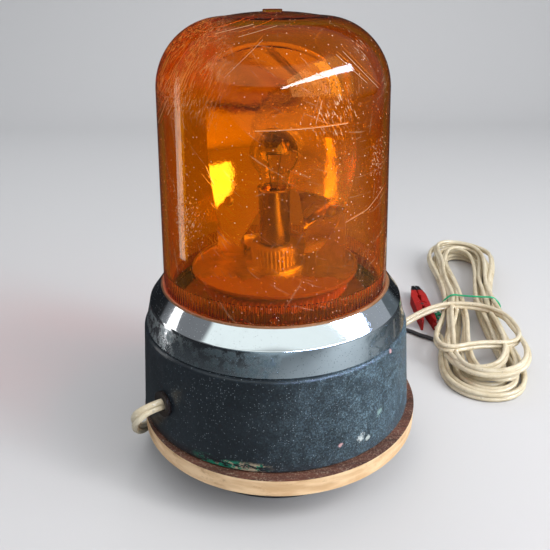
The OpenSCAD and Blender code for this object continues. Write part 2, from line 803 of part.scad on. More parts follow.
module rivet_holes()
    for (s = [-1, 1]) at_tab(s)
        cylinder(r = rivet_r + seat, h = 4 * (bowl_t + bracket_t), center = true, $fn = 24);

module bracket(s)
    difference() {
        union() {
            rotate(-rest_turn) translate([s * bracket_x - bracket_w / 2, bracket_y, floor_top]) {
                cube([bracket_w, bracket_foot_l, bracket_t]);
                cube([bracket_w, bracket_t, bowl_z - tab_drop - floor_top]);
            }
            at_tab(s) translate([past - tab_w / 2, -tab_w / 2, 0]) cube([tab_w, tab_w, bracket_t]);
        }
        bowl_space(bowl_t + 0.03);
        at_bracket_screws() translate([0, 0, floor_top - past])
            cylinder(r = bracket_screw_r + seat, h = bracket_t + 2 * past, $fn = 24);
        rivet_holes();
        at_tab(s) translate([0, 0, bracket_t])
            cylinder(r = rivet_head_r + 0.3, h = 3 * rivet_head_r, $fn = 32);
    }

module bracket_left() color("silver") bracket(-1);

module bracket_right() color("silver") bracket(1);

module bracket_screws() color("silver")
    at_bracket_screws() {
        translate([0, 0, floor_top + bracket_t]) cylinder(r = 2.8, h = 1.8, $fn = 24);
        translate([0, 0, table_z - past])
            cylinder(r = bracket_screw_r, h = past + table_t + bracket_t + sunk, $fn = 24);
    }

module reflector_rivets() color("silver")
    for (s = [-1, 1]) at_tab(s) {
        translate([0, 0, -bowl_t - rivet_lift - rivet_head_h])
            cylinder(r = rivet_head_r, h = rivet_head_h, $fn = 24);
        translate([0, 0, -bowl_t - rivet_head_h])
            cylinder(r = rivet_r, h = bowl_t + bracket_t + 2 * rivet_head_h - rivet_lift, $fn = 24);
        translate([0, 0, bracket_t + seat]) cylinder(r = rivet_head_r, h = rivet_head_h, $fn = 24);
    }

bowl_steps = 13;
bowl_path = [for (i = [0 : bowl_steps]) let (r = rim_rho * i / bowl_steps) [r, r * r / (4 * focal_l)]];
bowl_lip = [rim_rho + 1.2, bowl_depth + 0.2];

// The arch that the bowl leaves free over the bulb holder, seen from the front
arch_outline = concat(
    [[-arch_w, ring_z], [-arch_w, bowl_z - rim_rho + 6]],
    arc([-arch_top_w, arch_z - arch_round], arch_round, 160, 90, 4),
    arc([arch_top_w, arch_z - arch_round], arch_round, 90, 20, 4),
    [[arch_w, bowl_z - rim_rho + 6], [arch_w, ring_z]]
);

// What the bowl's trimmed side keeps of it, as a wide disc across it
module bowl_side(s)
    translate([s * (bowl_side_r - bowl_half_w), 0, bowl_z]) rotate([90, 0, 0])
        cylinder(r = bowl_side_r, h = 4 * bowl_depth, center = true, $fn = 128);

module reflector() color("whitesmoke")
    difference() {
        rotate(-rest_turn) difference() {
            intersection() {
                translate([0, focal_l, bowl_z]) rotate([90, 0, 0])
                    turned(concat(bowl_path, [bowl_lip]), -bowl_t);
                bowl_side(1);
                bowl_side(-1);
            }
            rotate([90, 0, 0]) linear_extrude(4 * bowl_depth, center = true) polygon(arch_outline);
        }
        rivet_holes();
    }

// Motor

motor_z = motor_top - motor_l;
endcap_l = 4.5;
motor_screw_r = 1.25;
motor_screw_at = 8.5;
motor_tab_at = 7;
motor_tab_w = 3;
motor_tab_t = 0.8;
motor_tab_l = 5;

module at_motor_screws()
    translate([motor_x, motor_y, 0]) rotate(motor_at)
        for (s = [-1, 1]) translate([0, motor_screw_at * s, 0]) children();

module motor_can() color("silver")
    difference() {
        translate([motor_x, motor_y, 0]) difference() {
            union() {
                translate([0, 0, motor_z + endcap_l]) cylinder(r = motor_r, h = motor_l - endcap_l);
                translate([0, 0, motor_top - past]) cylinder(r = boss_r, h = boss_h + past);
            }
            translate([0, 0, shaft_low - 0.2]) cylinder(r = shaft_r + run_gap, h = motor_l);
        }
        at_motor_screws() translate([0, 0, motor_top - motor_screw_in - 0.2])
            cylinder(r = motor_screw_r + seat, h = motor_screw_in + past, $fn = 24);
    }

module motor_endcap() color("black")
    translate([motor_x, motor_y, motor_z]) {
        cylinder(r = motor_r - 1.5, h = endcap_l);
        rotate(motor_at) for (s = [-1, 1])
            translate([-motor_tab_t / 2, motor_tab_at * s - motor_tab_w / 2, -motor_tab_l])
                cube([motor_tab_t, motor_tab_w, motor_tab_l + sunk]);
    }

motor_screw_in = 4;

module motor_screws() color("silver")
    at_motor_screws() {
        translate([0, 0, plate_top]) cylinder(r = 2.3, h = 1.5, $fn = 24);
        translate([0, 0, motor_top - motor_screw_in])
            cylinder(r = motor_screw_r, h = motor_screw_in + plate_t + sunk, $fn = 24);
    }

module motor_shaft() color("silver")
    translate([motor_x, motor_y, shaft_low]) cylinder(r = shaft_r, h = gear_z + gear_w + past - shaft_low);

module pinion() color("goldenrod")
    translate([motor_x, motor_y, gear_z - 0.8]) difference() {
        rotate(motor_at + 180 + 180 / pinion_teeth + mesh_turn) linear_extrude(pinion_l)
            polygon(gear_outline(pinion_teeth, gear_m, backlash / 2));
        through() cylinder(r = shaft_r + seat, h = pinion_l + 2 * past);
    }

// The big gear has a tooth at angle 0, so the pinion turns to put a gap where that gear's tooth is
gear_step = 360 / gear_teeth;
mesh_turn = (motor_at / gear_step - floor(motor_at / gear_step)) * 360 / pinion_teeth;

// Wiring inside the housing

block_at = [-34, -27];
block = [20, 12, 11];
block_mid = housing_z + 6;
inner_wire_r = 0.9;
terminal_r = 2.2;

module terminal_block() color("saddlebrown")
    translate([block_at[0], block_at[1], housing_z]) difference() {
        translate([-block[0] / 2, -block[1] / 2, 0]) cube(block);
        for (s = [-1, 1]) translate([s * block[0] / 4, 0, 4])
            cylinder(r = terminal_r, h = block[2], $fn = 24);
    }

hole_dir = [cos(hole_turn), sin(hole_turn)];
tail_r = hole_wall_r - 5.6;

module supply_tail() color("ivory") {
    pts = [
        [hole_dir[0] * (hole_wall_r - 0.4), hole_dir[1] * (hole_wall_r - 0.4), hole_z - 0.05],
        [hole_dir[0] * tail_r, hole_dir[1] * tail_r, hole_z - 0.45],
        [-50, -41, 50.5], [-48.6, -36.6, 45], [-47.8, -32.4, 40.2],
        [block_at[0] - block[0] / 2 - 2, block_at[1] - 2.4, block_mid],
        [block_at[0] - block[0] / 2 - seat, block_at[1] - 2.4, block_mid]
    ];
    sweep(pts, flat_section, [for (i = [0 : len(pts) - 1]) sweep_frame(pts, i)]);
}

// A point beside the motor, with X away from the beacon's axis
function by_motor(x, y, z) = let (p = spin([x, y], motor_at)) [motor_x + p[0], motor_y + p[1], z];

module motor_wires() color("crimson")
    for (s = [-1, 1]) wire([
        [block_at[0] + 5 * s, block_at[1] + block[1] / 2 + seat, block_mid],
        [block_at[0] + 5 * s, block_at[1] + block[1] / 2 + 2, block_mid],
        [block_at[0] + 6 * s, block_at[1] + 12, 37.4], [-14 + 4 * s, 12, 42],
        by_motor(-13, 6.4 * s, motor_z - 5), by_motor(-6, 6.8 * s, motor_z - 3.4),
        by_motor(-motor_tab_t / 2 - 2, motor_tab_at * s, motor_z - 2.6),
        by_motor(-motor_tab_t / 2 - seat, motor_tab_at * s, motor_z - 2.6)
    ], inner_wire_r, 6);

module lamp_wire() color("dimgray")
    wire([
        [block_at[0] + block[0] / 2 + seat, block_at[1] + 2, block_mid],
        [block_at[0] + block[0] / 2 + 2, block_at[1] + 2, block_mid], [-14, -22, 42], [-4, -9, 56],
        [-1, -2, 70], [0, 0, spindle_low], [0, 0, plate_top], [0, 0, contact_low]
    ], inner_wire_r, 6, [0, -1, 0]);

// Lens, seal and chrome ring

corner_z = ring_z + lens_h - lens_crown - lens_corner_r;
crown_r = lens_top_r - lens_corner_r;
crown_z = ring_z + lens_h - lens_crown;
lens_outer = concat(
    [[flange_r, flange_z], [flange_r, flange_z + flange_t], [lens_r, flange_z + flange_t], [lens_r, ring_z]],
    arc([crown_r, corner_z], lens_corner_r, 0, 90, 14),
    [for (i = [4 : -1 : 0]) let (r = crown_r * i / 5) [r, crown_z + lens_crown * (1 - pow(r / crown_r, 2))]]
);
lens_inner = concat(
    [for (i = [0 : 4]) let (r = crown_r * i / 5)
        [r, crown_z - lens_wall + lens_crown * (1 - pow(r / crown_r, 2))]],
    arc([crown_r, corner_z], lens_corner_r - lens_wall, 90, 0, 14),
    [[lens_r - lens_wall, ring_z], [lens_r - lens_wall, flange_z]]
);

nub_r = 4.6;
nub_h = 0.9;
pip_r = 2;
pip_h = 0.5;
pip_rise = 3;

module lens() color("orange", 0.6) {
    rotate_extrude($fn = 128) polygon(concat(lens_outer, lens_inner));
    translate([0, 0, ring_z + lens_h - sunk]) cylinder(r = nub_r, h = nub_h + sunk, $fn = 48);
    translate([0, past - lens_r, ring_z + pip_rise]) rotate([90, 0, 0])
        cylinder(r = pip_r, h = pip_h + past, $fn = 32);
}

seal_low = flange_z + flange_t;
seal_lip = 0.5;
seal_r = flange_r - 0.3;
seal_gap = 0.06;

// The seal fills the wedge between the lens and the slope under the chrome ring
module lens_seal() color("tan")
    rotate_extrude($fn = 96) polygon([
        [lens_r + seat, seal_low], [seal_r, seal_low],
        [seal_r, under_ring[1] - (seal_r + seal_gap - under_ring[0]) / ring_slope],
        [under_ring[0] - seal_gap, under_ring[1]],
        [under_ring[0] - seal_gap, ring_z + seal_lip], [lens_r + seat, ring_z + seal_lip]
    ]);

ring_round = 1.6;
ring_path = concat(
    [[ring_low_r, ring_low_z]],
    arc([ring_r - ring_round, ring_z - ring_slope_h - ring_round], ring_round, 12, 48, 4),
    [[ring_hole_r + ring_t * 0.75, ring_z]]
);
under_ring = beside(ring_path, len(ring_path) - 1, ring_t);
ring_end = ring_path[len(ring_path) - 1] - ring_path[len(ring_path) - 2];
ring_slope = -ring_end[0] / ring_end[1];

module chrome_ring() color("silver") turned(ring_path, ring_t);

// Flex and hank

module cord_run() color("ivory") {
    end = hank_point(0);
    before = end - flex_w * unit(hank_point(0.01) - end);
    pts = concat(flex_route, [before, end]);
    frames = [for (i = [0 : len(pts) - 1]) i == len(pts) - 1 ? hank_frame(0) : sweep_frame(pts, i)];
    sweep(pts, flat_section, frames);
}

// Centre of the hank's flex after u loops: it winds in on the upper layer and out again on the lower one
function hank_point(u) =
    let (
        deep = loop_step * min(u, hank_loops - u),
        th = hank_start + 360 * u,
        edge = [hank_b * sin(th) * (1 - hank_waist * pow(sin(th), 2)), hank_a * cos(th)],
        along = unit([hank_b * cos(th) * (1 - 3 * hank_waist * pow(sin(th), 2)), -hank_a * sin(th)]),
        drop = min(1, max(0, (u - hank_loops / 2) / change_turn + 0.5)),
        p = spin(edge - deep * left_of(along), hank_turn)
    ) [hank_at[0] + p[0], hank_at[1] + p[1], layer_z + layer_step * (1 - drop)];

function hank_frame(u) =
    let (t = unit(hank_point(u + 0.002) - hank_point(u - 0.002)), side = unit(cross(t, [0, 0, 1])))
    [side, cross(side, t)];

hank_rings = ceil(hank_loops * rings_per_loop);

// Least distance between the outlines of the hank's runs, measured on their points
function hank_gap(points, k) = min([
    for (i = [0 : hank_rings - 6]) for (j = [i + 6 : hank_rings])
        if (norm(points[i * k] - points[j * k]) < 4 * flex_w)
            for (p = [0 : k - 1]) for (q = [0 : k - 1]) norm(points[i * k + p] - points[j * k + q])
]);

module cord_hank() color("ivory") {
    us = [for (i = [0 : hank_rings]) hank_loops * i / hank_rings];
    pts = [for (u = us) hank_point(u)];
    frames = [for (u = us) hank_frame(u)];
    echo(hank_least_gap = hank_gap(sweep_points(pts, hank_section, frames), len(hank_section)));
    sweep(pts, hank_section, frames);
}

tie_t = 1.3;
tie_w = hank_b * (1 - hank_waist) + flex_t / 2 + 0.5;
tie_h = layer_z + layer_step + flex_w / 2 + 0.4;
tie_at = [0, -8, 0.1];

module hank_tie() color("seagreen")
    translate([hank_at[0], hank_at[1], 0]) rotate(hank_turn) translate(tie_at) rotate([90, 0, 0])
        linear_extrude(tie_t, center = true) difference() {
            translate([-tie_w - tie_t, 0]) square([2 * (tie_w + tie_t), tie_h + tie_t]);
            translate([-tie_w, -past]) square([2 * tie_w, tie_h + past]);
        }

// Battery clips: each has a fixed half, a sprung jaw, a spring and a pin, and lies on its side

jaw_gap = 0.25;
clip_wide = 6.4;
teeth = 8;
tooth_l = 2.2;
tooth_h = 0.9;
knuckle_r = 3.4;
cheek_t = 1.2;
arm_w = 4;

// Outline of one half, on the +x side, with its toothed edge along x = 0
function clip_outline() = concat(
    [for (i = [0 : teeth - 1]) let (y = jaw_l - i * tooth_l)
        each [[jaw_gap, y], [jaw_gap + tooth_h, y - tooth_l / 2]]],
    [[jaw_gap, jaw_l - tooth_l * teeth], [jaw_gap + 1.6, jaw_l - tooth_l * teeth - 2]],
    [[jaw_gap, 3], [jaw_gap + 0.6, -3]],
    [[jaw_gap + 3.8, -handle_l], [clip_wide - 0.6, -handle_l], [clip_wide, -handle_l / 2]],
    [[clip_wide, jaw_l / 2], [clip_wide / 2, jaw_l - 1]]
);

// Levels of the cheeks of the fixed half, the knuckles of the jaw and the spring, along the pin
cheek_zs = [clip_z + 0.5, clip_z + clip_h - 0.5 - cheek_t];
knuckle_zs = [clip_z + 0.5 + cheek_t + 0.2, clip_z + clip_h - 0.7 - 2 * cheek_t];
spring_z = knuckle_zs[0] + cheek_t + 0.2;
spring_h = knuckle_zs[1] - 0.2 - spring_z;

module clip_half()
    difference() {
        translate([0, 0, clip_z]) linear_extrude(clip_h) polygon(clip_outline());
        clip_bore(knuckle_r + 0.4);
    }

// The barrel that grips the lead, on the end of the fixed half
crimp_r = lead_r + 0.8;
crimp_l = 4;
crimp_x = clip_wide - 1.5;

// A point y beyond the handle's end, on the line of a clip's crimp barrel
function by_crimp(at, turn, y) =
    let (p = spin([crimp_x, -handle_l - y], turn)) [at[0] + p[0], at[1] + p[1], clip_mid];

module clip_bore(r) translate([0, 0, clip_z - past]) cylinder(r = r, h = clip_h + 2 * past, $fn = 32);

module clip_body()
    difference() {
        union() {
            clip_half();
            for (z = cheek_zs) translate([0, 0, z]) {
                cylinder(r = knuckle_r, h = cheek_t, $fn = 32);
                translate([1, -arm_w / 2, 0]) cube([knuckle_r + 1, arm_w, cheek_t]);
            }
            translate([crimp_x, -handle_l - crimp_l, clip_mid]) rotate([-90, 0, 0])
                cylinder(r = crimp_r, h = crimp_l + past, $fn = 32);
        }
        clip_bore(clip_pin_r + seat);
        translate([crimp_x, -handle_l - crimp_l - past, clip_mid]) rotate([-90, 0, 0])
            cylinder(r = lead_r + seat, h = crimp_l + past, $fn = 32);
    }

module clip_jaw()
    difference() {
        union() {
            mirror([1, 0, 0]) clip_half();
            for (z = knuckle_zs) translate([0, 0, z]) {
                cylinder(r = knuckle_r, h = cheek_t, $fn = 32);
                translate([-knuckle_r - 2, -arm_w / 2, 0]) cube([knuckle_r + 1, arm_w, cheek_t]);
            }
        }
        clip_bore(clip_pin_r + run_gap);
    }

module at_clip(at, turn) translate([at[0], at[1], 0]) rotate(turn) children();

module at_clips() {
    at_clip(red_clip_at, red_clip_turn) children();
    at_clip(black_clip_at, black_clip_turn) children();
}

module red_clip() color("red") at_clip(red_clip_at, red_clip_turn) clip_body();

module red_jaw() color("red") at_clip(red_clip_at, red_clip_turn) clip_jaw();

module black_clip() color("black") at_clip(black_clip_at, black_clip_turn) clip_body();

module black_jaw() color("black") at_clip(black_clip_at, black_clip_turn) clip_jaw();

module clip_pins() color("silver")
    at_clips() translate([0, 0, cheek_zs[0] - 0.3]) cylinder(r = clip_pin_r, h = clip_h - 0.4, $fn = 32);

module clip_springs() color("silver")
    at_clips() translate([0, 0, spring_z]) tube(clip_pin_r + 1.2, clip_pin_r + 0.2, spring_h);

// Single-core leads from the end of the hank to the clips

module lead_red() color("ivory") {
    end = hank_point(hank_loops);
    t = unit(end - hank_point(hank_loops - 0.01));
    wire([
        end + [0, 0, 1.6] + 0.1 * t, end + [0, 0, 1.5] + 4.5 * t, [125.6, 103.4, 4.8],
        by_crimp(red_clip_at, red_clip_turn, crimp_l + 8), by_crimp(red_clip_at, red_clip_turn, crimp_l + 2),
        by_crimp(red_clip_at, red_clip_turn, seat)
    ], lead_r);
}

module lead_black() color("dimgray") {
    end = hank_point(hank_loops);
    t = unit(end - hank_point(hank_loops - 0.01));
    wire([
        end - [0, 0, 1.6] + 0.1 * t, end - [0, 0, 1.7] + 4.5 * t, [122.6, 103.4, 1.7], [117.4, 108.6, 1.7],
        [111.4, 112.8, 1.7], [106, 118.4, 1.7], [100, 122.4, 1.7], [92.6, 122, 1.7], [85, 119.6, 1.7],
        [78, 119, 2.2], by_crimp(black_clip_at, black_clip_turn, crimp_l + 7) - [0, 0, 0.9],
        by_crimp(black_clip_at, black_clip_turn, crimp_l + 2), by_crimp(black_clip_at, black_clip_turn, seat)
    ], lead_r);
}

magnet_ring();
magnet_pot();
foot_pad();
foot_bolt();
foot_washer();
foot_nut();
wood_disc();
base_screws();
base_nuts();
housing();
gasket();
cord_grommet();
chassis_plate();
chassis_screws();
spindle();
spindle_nut();
thrust_washer();
spindle_clip();
bulb_holder();
holder_insulator();
contact_spring();
contact_plunger();
terminal_block();
supply_tail();
motor_wires();
lamp_wire();
motor_can();
motor_endcap();
motor_screws();
motor_shaft();
pinion();
bush();
drive_gear();
turntable();
hub();
bracket_left();
bracket_right();
bracket_screws();
reflector();
reflector_rivets();
bulb_cap();
cap_insulator();
bulb_contact();
bulb_stem();
bulb_filament();
bulb_glass();
lens();
lens_seal();
chrome_ring();
cord_run();
cord_hank();
hank_tie();
lead_red();
lead_black();
red_clip();
red_jaw();
black_clip();
black_jaw();
clip_pins();
clip_springs();
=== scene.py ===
"""Looks of a rotating beacon light: amber dome, chrome ring, enamelled housing, wood disc and flex."""

import json
import math

import bmesh
import bpy
from bpy.props import FloatProperty, FloatVectorProperty, IntProperty, PointerProperty
from mathutils import Matrix, Vector, noise

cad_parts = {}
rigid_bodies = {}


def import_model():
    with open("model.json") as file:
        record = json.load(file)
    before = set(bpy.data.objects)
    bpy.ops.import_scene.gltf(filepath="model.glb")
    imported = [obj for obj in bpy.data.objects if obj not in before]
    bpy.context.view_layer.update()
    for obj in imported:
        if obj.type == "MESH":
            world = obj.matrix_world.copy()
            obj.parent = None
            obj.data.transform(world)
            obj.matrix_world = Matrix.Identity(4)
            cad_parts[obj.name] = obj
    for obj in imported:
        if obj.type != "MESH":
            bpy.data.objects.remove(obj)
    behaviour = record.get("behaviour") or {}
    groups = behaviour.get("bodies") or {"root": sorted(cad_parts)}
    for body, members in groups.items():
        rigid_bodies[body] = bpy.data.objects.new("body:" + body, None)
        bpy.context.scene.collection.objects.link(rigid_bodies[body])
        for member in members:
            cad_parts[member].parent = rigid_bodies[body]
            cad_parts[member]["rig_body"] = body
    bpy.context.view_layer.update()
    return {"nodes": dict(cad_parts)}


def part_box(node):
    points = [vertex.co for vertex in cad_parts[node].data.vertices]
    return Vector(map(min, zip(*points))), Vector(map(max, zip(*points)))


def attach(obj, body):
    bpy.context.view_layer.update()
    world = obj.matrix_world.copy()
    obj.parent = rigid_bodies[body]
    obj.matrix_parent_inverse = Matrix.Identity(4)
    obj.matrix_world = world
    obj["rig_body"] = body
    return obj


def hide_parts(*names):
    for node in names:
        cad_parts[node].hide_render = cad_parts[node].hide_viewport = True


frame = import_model()

bl_info = {
    "name": "Rotating Beacon Looks",
    "version": (1, 0, 0),
    "blender": (4, 5, 0),
    "location": "3D View > Sidebar > Beacon",
    "description": "Dresses the solids of a rotating beacon light with shapes and finishes",
    "category": "Object",
}

MM = 0.001

# Levels, radii and other sizes that the solids have, in millimetres
RING_Z = 104.0
FLANGE_Z = 96.0
LENS_TOP_R = 56.3
LENS_WALL = 3.0
LENS_CORNER_R = 33.0
LENS_CROWN = 2.0
NUB_R = 4.6
NUB_EDGE = 0.4
NUB_H = 0.9
NUB_DISH = 0.5
PIP_Z = 107.2
PIP_OUTLINE = [(0.0, 0.0), (2.2, 0.0), (2.0, 0.35), (1.2, 0.75), (0.0, 0.9)]
FLANGE_R = 64.0
FLANGE_T = 2.5
RING_LOW_R = 71.0
RING_LOW_Z = 83.0
RING_R = 68.2
RING_SLOPE_H = 7.6
RING_HOLE_R = 61.75
RING_ROUND = 1.6
RING_T = 1.0
FLEX_W = 6.6
FLEX_T = 3.3
LEAD_R = 1.5
CLIP_MID_Z = 4.6
CRIMP_X = 4.9
HANDLE_END_Y = -30
SLEEVE_END_Y = 25.0

# Each battery clip's place, in millimetres, and its turn in degrees
RED_CLIP = ((121.4, 153), -1.5)
BLACK_CLIP = ((31, 116), 90)

# The flex's route from the grommet to the hank
FLEX_ROUTE = [
    (-56.8, -47.7, 54), (-61.3, -51.4, 54.4), (-65.5, -53.6, 53.6), (-69.2, -54, 51), (-71.8, -51.6, 47),
    (-74, -46.5, 41.5), (-76.2, -38, 33), (-77.8, -28.5, 24.5), (-78.3, -19, 16.5), (-77.2, -9, 10.5),
    (-75.4, 2, 6.6), (-73.4, 13, 4.2), (-71, 25, 3.5), (-67, 38, 3.4), (-61, 51, 3.4), (-53, 63, 3.4),
    (-43, 74, 3.4), (-31, 83, 3.4), (-17, 90, 3.4), (-2, 95, 3.4), (13, 99, 3.4), (28, 102, 3.4),
    (43, 104, 3.4), (58, 106, 3.4), (72, 108.5, 3.6), (85, 112, 5.2), (97, 116.5, 8.6), (108, 121.5, 12.4),
    (119, 126, 15.6), (130, 129.6, 17.3), (141, 131.4, 17.7), (151, 130.5, 17.7), (160.4, 127.6, 17.7),
    (168.4, 121.6, 17.7), (174, 113, 17.7), (176.3, 102.5, 17.7), (176.5, 91.5, 17.7), (174.8, 81.5, 17.7),
    (170.4, 73.8, 17.7), (163, 70, 17.7), (153.4, 70, 17.7), (143, 69.6, 17.7), (132.8, 67.2, 17.7),
    (123.4, 64.8, 17.7), (116.6, 67.4, 17.7), (114.4, 75, 17.6), (116, 84, 16.8), (119.4, 94, 15.2),
    (123.6, 105, 13.2), (128.4, 116.4, 11.4), (132.6, 127, 10.6),
]

# The hank: loops round a waisted oval, wound inwards on the upper layer and out again on the lower one
HANK_AT = (160.5, 152.0)
HANK_TURN = -10.0
HANK_START = 262.0
HANK_A = 128.0
HANK_B = 60.0
HANK_WAIST = 0.66
HANK_LOOPS = 7.939
HANK_STEP = FLEX_T + 0.6
LAYER_Z = 3.4
LAYER_STEP = FLEX_W + 0.5
DROP_LOOPS = 0.7

# How the shown hank strays from the solid's neat one. It starts from both ends, at a share per loop, and has
# a value for both layers and one that the upper layer adds: wander, lift and rise per loop in millimetres, a
# fan of the loops in degrees, a squeeze as a share of their size, and a lean and a roll in radians.
STRAY_SHARE = 2.5
WANDER, WANDER_TOP = 1.3, 2.7
LIFT_TOP = 5.0
RISE_TOP = 1.2
FAN, FAN_TOP = 0.8, 3.2
SQUEEZE_TOP = 0.05
LEAN_TOP = 0.55
ROLL = 0.45

# Points per loop of the hank, and the points over which its roll fades in and out
LOOP_STEPS = 60
ROLL_STEPS = 40

# Where the red lead bends between the end of the flex and its clip
RED_BEND = (125.6, 103.4, 4.8)

# The black lead's route over the floor, between the end of the flex and its clip
BLACK_ROUTE = [
    (122.6, 103.4, 1.7), (117.4, 108.6, 1.7), (111.4, 112.8, 1.7), (106, 118.4, 1.7), (100, 122.4, 1.7),
    (92.6, 122, 1.7), (85, 119.6, 1.7), (78, 119, 2.2),
]

# The tie wire: its left leg as shares of its half width and heights in metres, and the shares of its top
TIE_LEG = [(-1.0, 0.001), (-1.0, 0.006), (-1.0, 0.011), (-0.93, 0.0146)]
TIE_TOP = (-0.7, -0.3, 0.0, 0.3, 0.7)
TIE_INSET = 0.0014
TIE_RISE = 0.0035

# The twisted end of the tie wire, in metres: points, place beside the left leg, half widths and step
TWIST_POINTS = 12
TWIST_X = -0.0045
TWIST_Z = 0.0030
TWIST_R = 0.0022
TWIST_H = 0.0016
TWIST_STEP = -0.0008

# The photo's camera: its place in metres, its tilt and roll in degrees, and its focal length in pixels
CAMERA_AT = (0.0, -0.3204, 0.2464)
CAMERA_TILT = 23.993
CAMERA_ROLL = -0.564
FOCAL_PIXELS = 640
PICTURE_PIXELS = 550
SENSOR = 36.0

# Small steps in metres: the floor lies below the object, so that the two don't share a plane, the pip sinks
# into the lens, and the ribs begin above the ring
FLOOR_DROP = 0.0002
OVERLAP = 0.0001
RIB_LIFT = 0.0002

# Area lights: place, the point that each faces, its two sizes and its power
LIGHTS = {
    "key": ((0.80, -0.42, 0.62), (0, 0, 0.10), (0.20, 0.90), 7.0),
    "fill": ((0.80, -0.42, 0.62), (0, 0, 0.10), (0.80, 0.90), 6.0),
    "ceiling": ((0.06, -0.56, 1.00), (0, 0, 0.10), (1.35, 0.30), 3.2),
    "strip": ((-0.38, 0.04, 0.15), (0, 0, 0.15), (0.06, 0.29), 0.16),
    "back": ((-0.35, 0.75, 1.00), (0, 0, 0.10), (1.2, 0.8), 3.0),
}


def length(label, about, default):
    """A setting for a length in metres."""
    return FloatProperty(name=label, description=about, default=default, unit="LENGTH")


def colour(label, about, default):
    """A setting for a colour."""
    return FloatVectorProperty(name=label, description=about, default=default, subtype="COLOR", size=3)


class BeaconSizes(bpy.types.PropertyGroup):
    """Sizes of the beacon's fine forms."""

    lens_r: length("Lens radius", "Outer radius of the lens at the ring", 0.060)
    lens_h: length("Lens height", "Height of the lens above the ring", 0.1336)
    rib_count: IntProperty(name="Lens ribs", description="Fine ribs round the foot of the lens", default=184)
    rib_h: length("Rib height", "Height of a lens rib", 0.0092)
    rib_r: length("Rib radius", "Radius of a lens rib", 0.0007)
    tie_r: length("Tie radius", "Radius of the tie wire", 0.0007)


class BeaconColours(bpy.types.PropertyGroup):
    """Colours of the beacon's finishes."""

    lens: colour("Lens", "Amber of the lens", (0.98, 0.42, 0.02))
    housing: colour("Housing", "Enamel of the housing", (0.006, 0.008, 0.011))
    wood: colour("Wood stain", "Stained face of the wood disc", (0.15, 0.055, 0.035))
    flex: colour("Flex", "Cream vinyl of the flex", (0.70, 0.62, 0.46))
    clip: colour("Red clip", "Vinyl of the red clip", (0.42, 0.02, 0.018))


# Small helpers for meshes


def arc(cx, cz, r, a0, a1, n):
    """Points on an arc about a centre, from angle a0 to a1 in degrees."""
    angles = [math.radians(a0 + (a1 - a0) * i / n) for i in range(n + 1)]
    return [(cx + r * math.cos(a), cz + r * math.sin(a)) for a in angles]


def between(p, q, share):
    """The point at a share of the way from p to q."""
    return tuple(a + (b - a) * share for a, b in zip(p, q))


def shade_smooth(mesh, angle):
    """Shades a mesh smooth, with sharp edges past an angle in degrees."""
    for polygon in mesh.polygons:
        polygon.use_smooth = True
    mesh.set_sharp_from_angle(angle=math.radians(angle))


def finish_mesh(name, bm, material, angle=30.0):
    """Makes an object of a bmesh, smooth up to an angle, with one material."""
    bmesh.ops.remove_doubles(bm, verts=bm.verts, dist=1e-7)
    bmesh.ops.recalc_face_normals(bm, faces=bm.faces)
    mesh = bpy.data.meshes.new(name)
    bm.to_mesh(mesh)
    bm.free()
    shade_smooth(mesh, angle)
    obj = bpy.data.objects.new(name, mesh)
    bpy.context.scene.collection.objects.link(obj)
    mesh.materials.append(material)
    return obj


def turned(name, profile, material, steps=256, angle=30.0):
    """Revolves a closed profile of (radius, height) in millimetres about the Z axis."""
    bm = bmesh.new()
    rings = []
    for r, z in profile:
        if r < 1e-6:
            rings.append([bm.verts.new((0, 0, z * MM))])
        else:
            rings.append([
                bm.verts.new((r * MM * math.cos(a), r * MM * math.sin(a), z * MM))
                for a in (2 * math.pi * i / steps for i in range(steps))
            ])
    for one, two in zip(rings, rings[1:] + rings[:1]):
        if len(one) == 1 and len(two) == 1:
            continue
        for i in range(steps):
            j = (i + 1) % steps
            corners = [one[i % len(one)], one[j % len(one)], two[j % len(two)], two[i % len(two)]]
            bm.faces.new(list(dict.fromkeys(corners)))
    return finish_mesh(name, bm, material, angle)


def beside(path, i, t):
    """Point i of a path, moved t to its left, with mitred corners."""
    def direction(p, q):
        return Vector((q[0] - p[0], q[1] - p[1])).normalized()
    last = len(path) - 1
    a = direction(path[max(i, 1) - 1], path[max(i, 1)])
    b = direction(path[min(i, last - 1)], path[min(i, last - 1) + 1])
    m = Vector((-a.y - b.y, a.x + b.x))
    p = Vector(path[i]) + m * (2 * t / m.length_squared)
    return (max(0.0, p.x), p.y)


def sheet(path, t):
    """Closed outline of a sheet of thickness t to the left of a path."""
    return list(path) + [beside(path, i, t) for i in reversed(range(len(path)))]


def settle(piece, body, slot, *nodes):
    """Puts a piece on its body, in place of the nodes that it stands for. The slot is not used."""
    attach(piece, body)
    if nodes:
        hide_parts(*nodes)


def dress(node, material, slot):
    """A smooth-shaded copy of a CAD node, in its place, that stands for it."""
    source = frame["nodes"][node]
    bm = bmesh.new()
    bm.from_mesh(source.data)
    piece = finish_mesh(node + "_shown", bm, material, 32.0)
    settle(piece, source["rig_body"], slot, node)


def paint(material, *nodes):
    """Gives CAD nodes that keep their own mesh a material."""
    for node in nodes:
        data = frame["nodes"][node].data
        data.materials.clear()
        data.materials.append(material)


def smooth_route(points, steps):
    """A Catmull-Rom curve through points."""
    pts = [Vector(p) for p in points]
    pts = [pts[0] * 2 - pts[1]] + pts + [pts[-1] * 2 - pts[-2]]
    out = []
    for i in range(1, len(pts) - 2):
        a, b, c, d = pts[i - 1:i + 3]
        for k in range(steps):
            t = k / steps
            out.append(0.5 * (
                2 * b + (c - a) * t + (2 * a - 5 * b + 4 * c - d) * t * t + (3 * b - a - 3 * c + d) * t ** 3
            ))
    out.append(pts[-2])
    return out


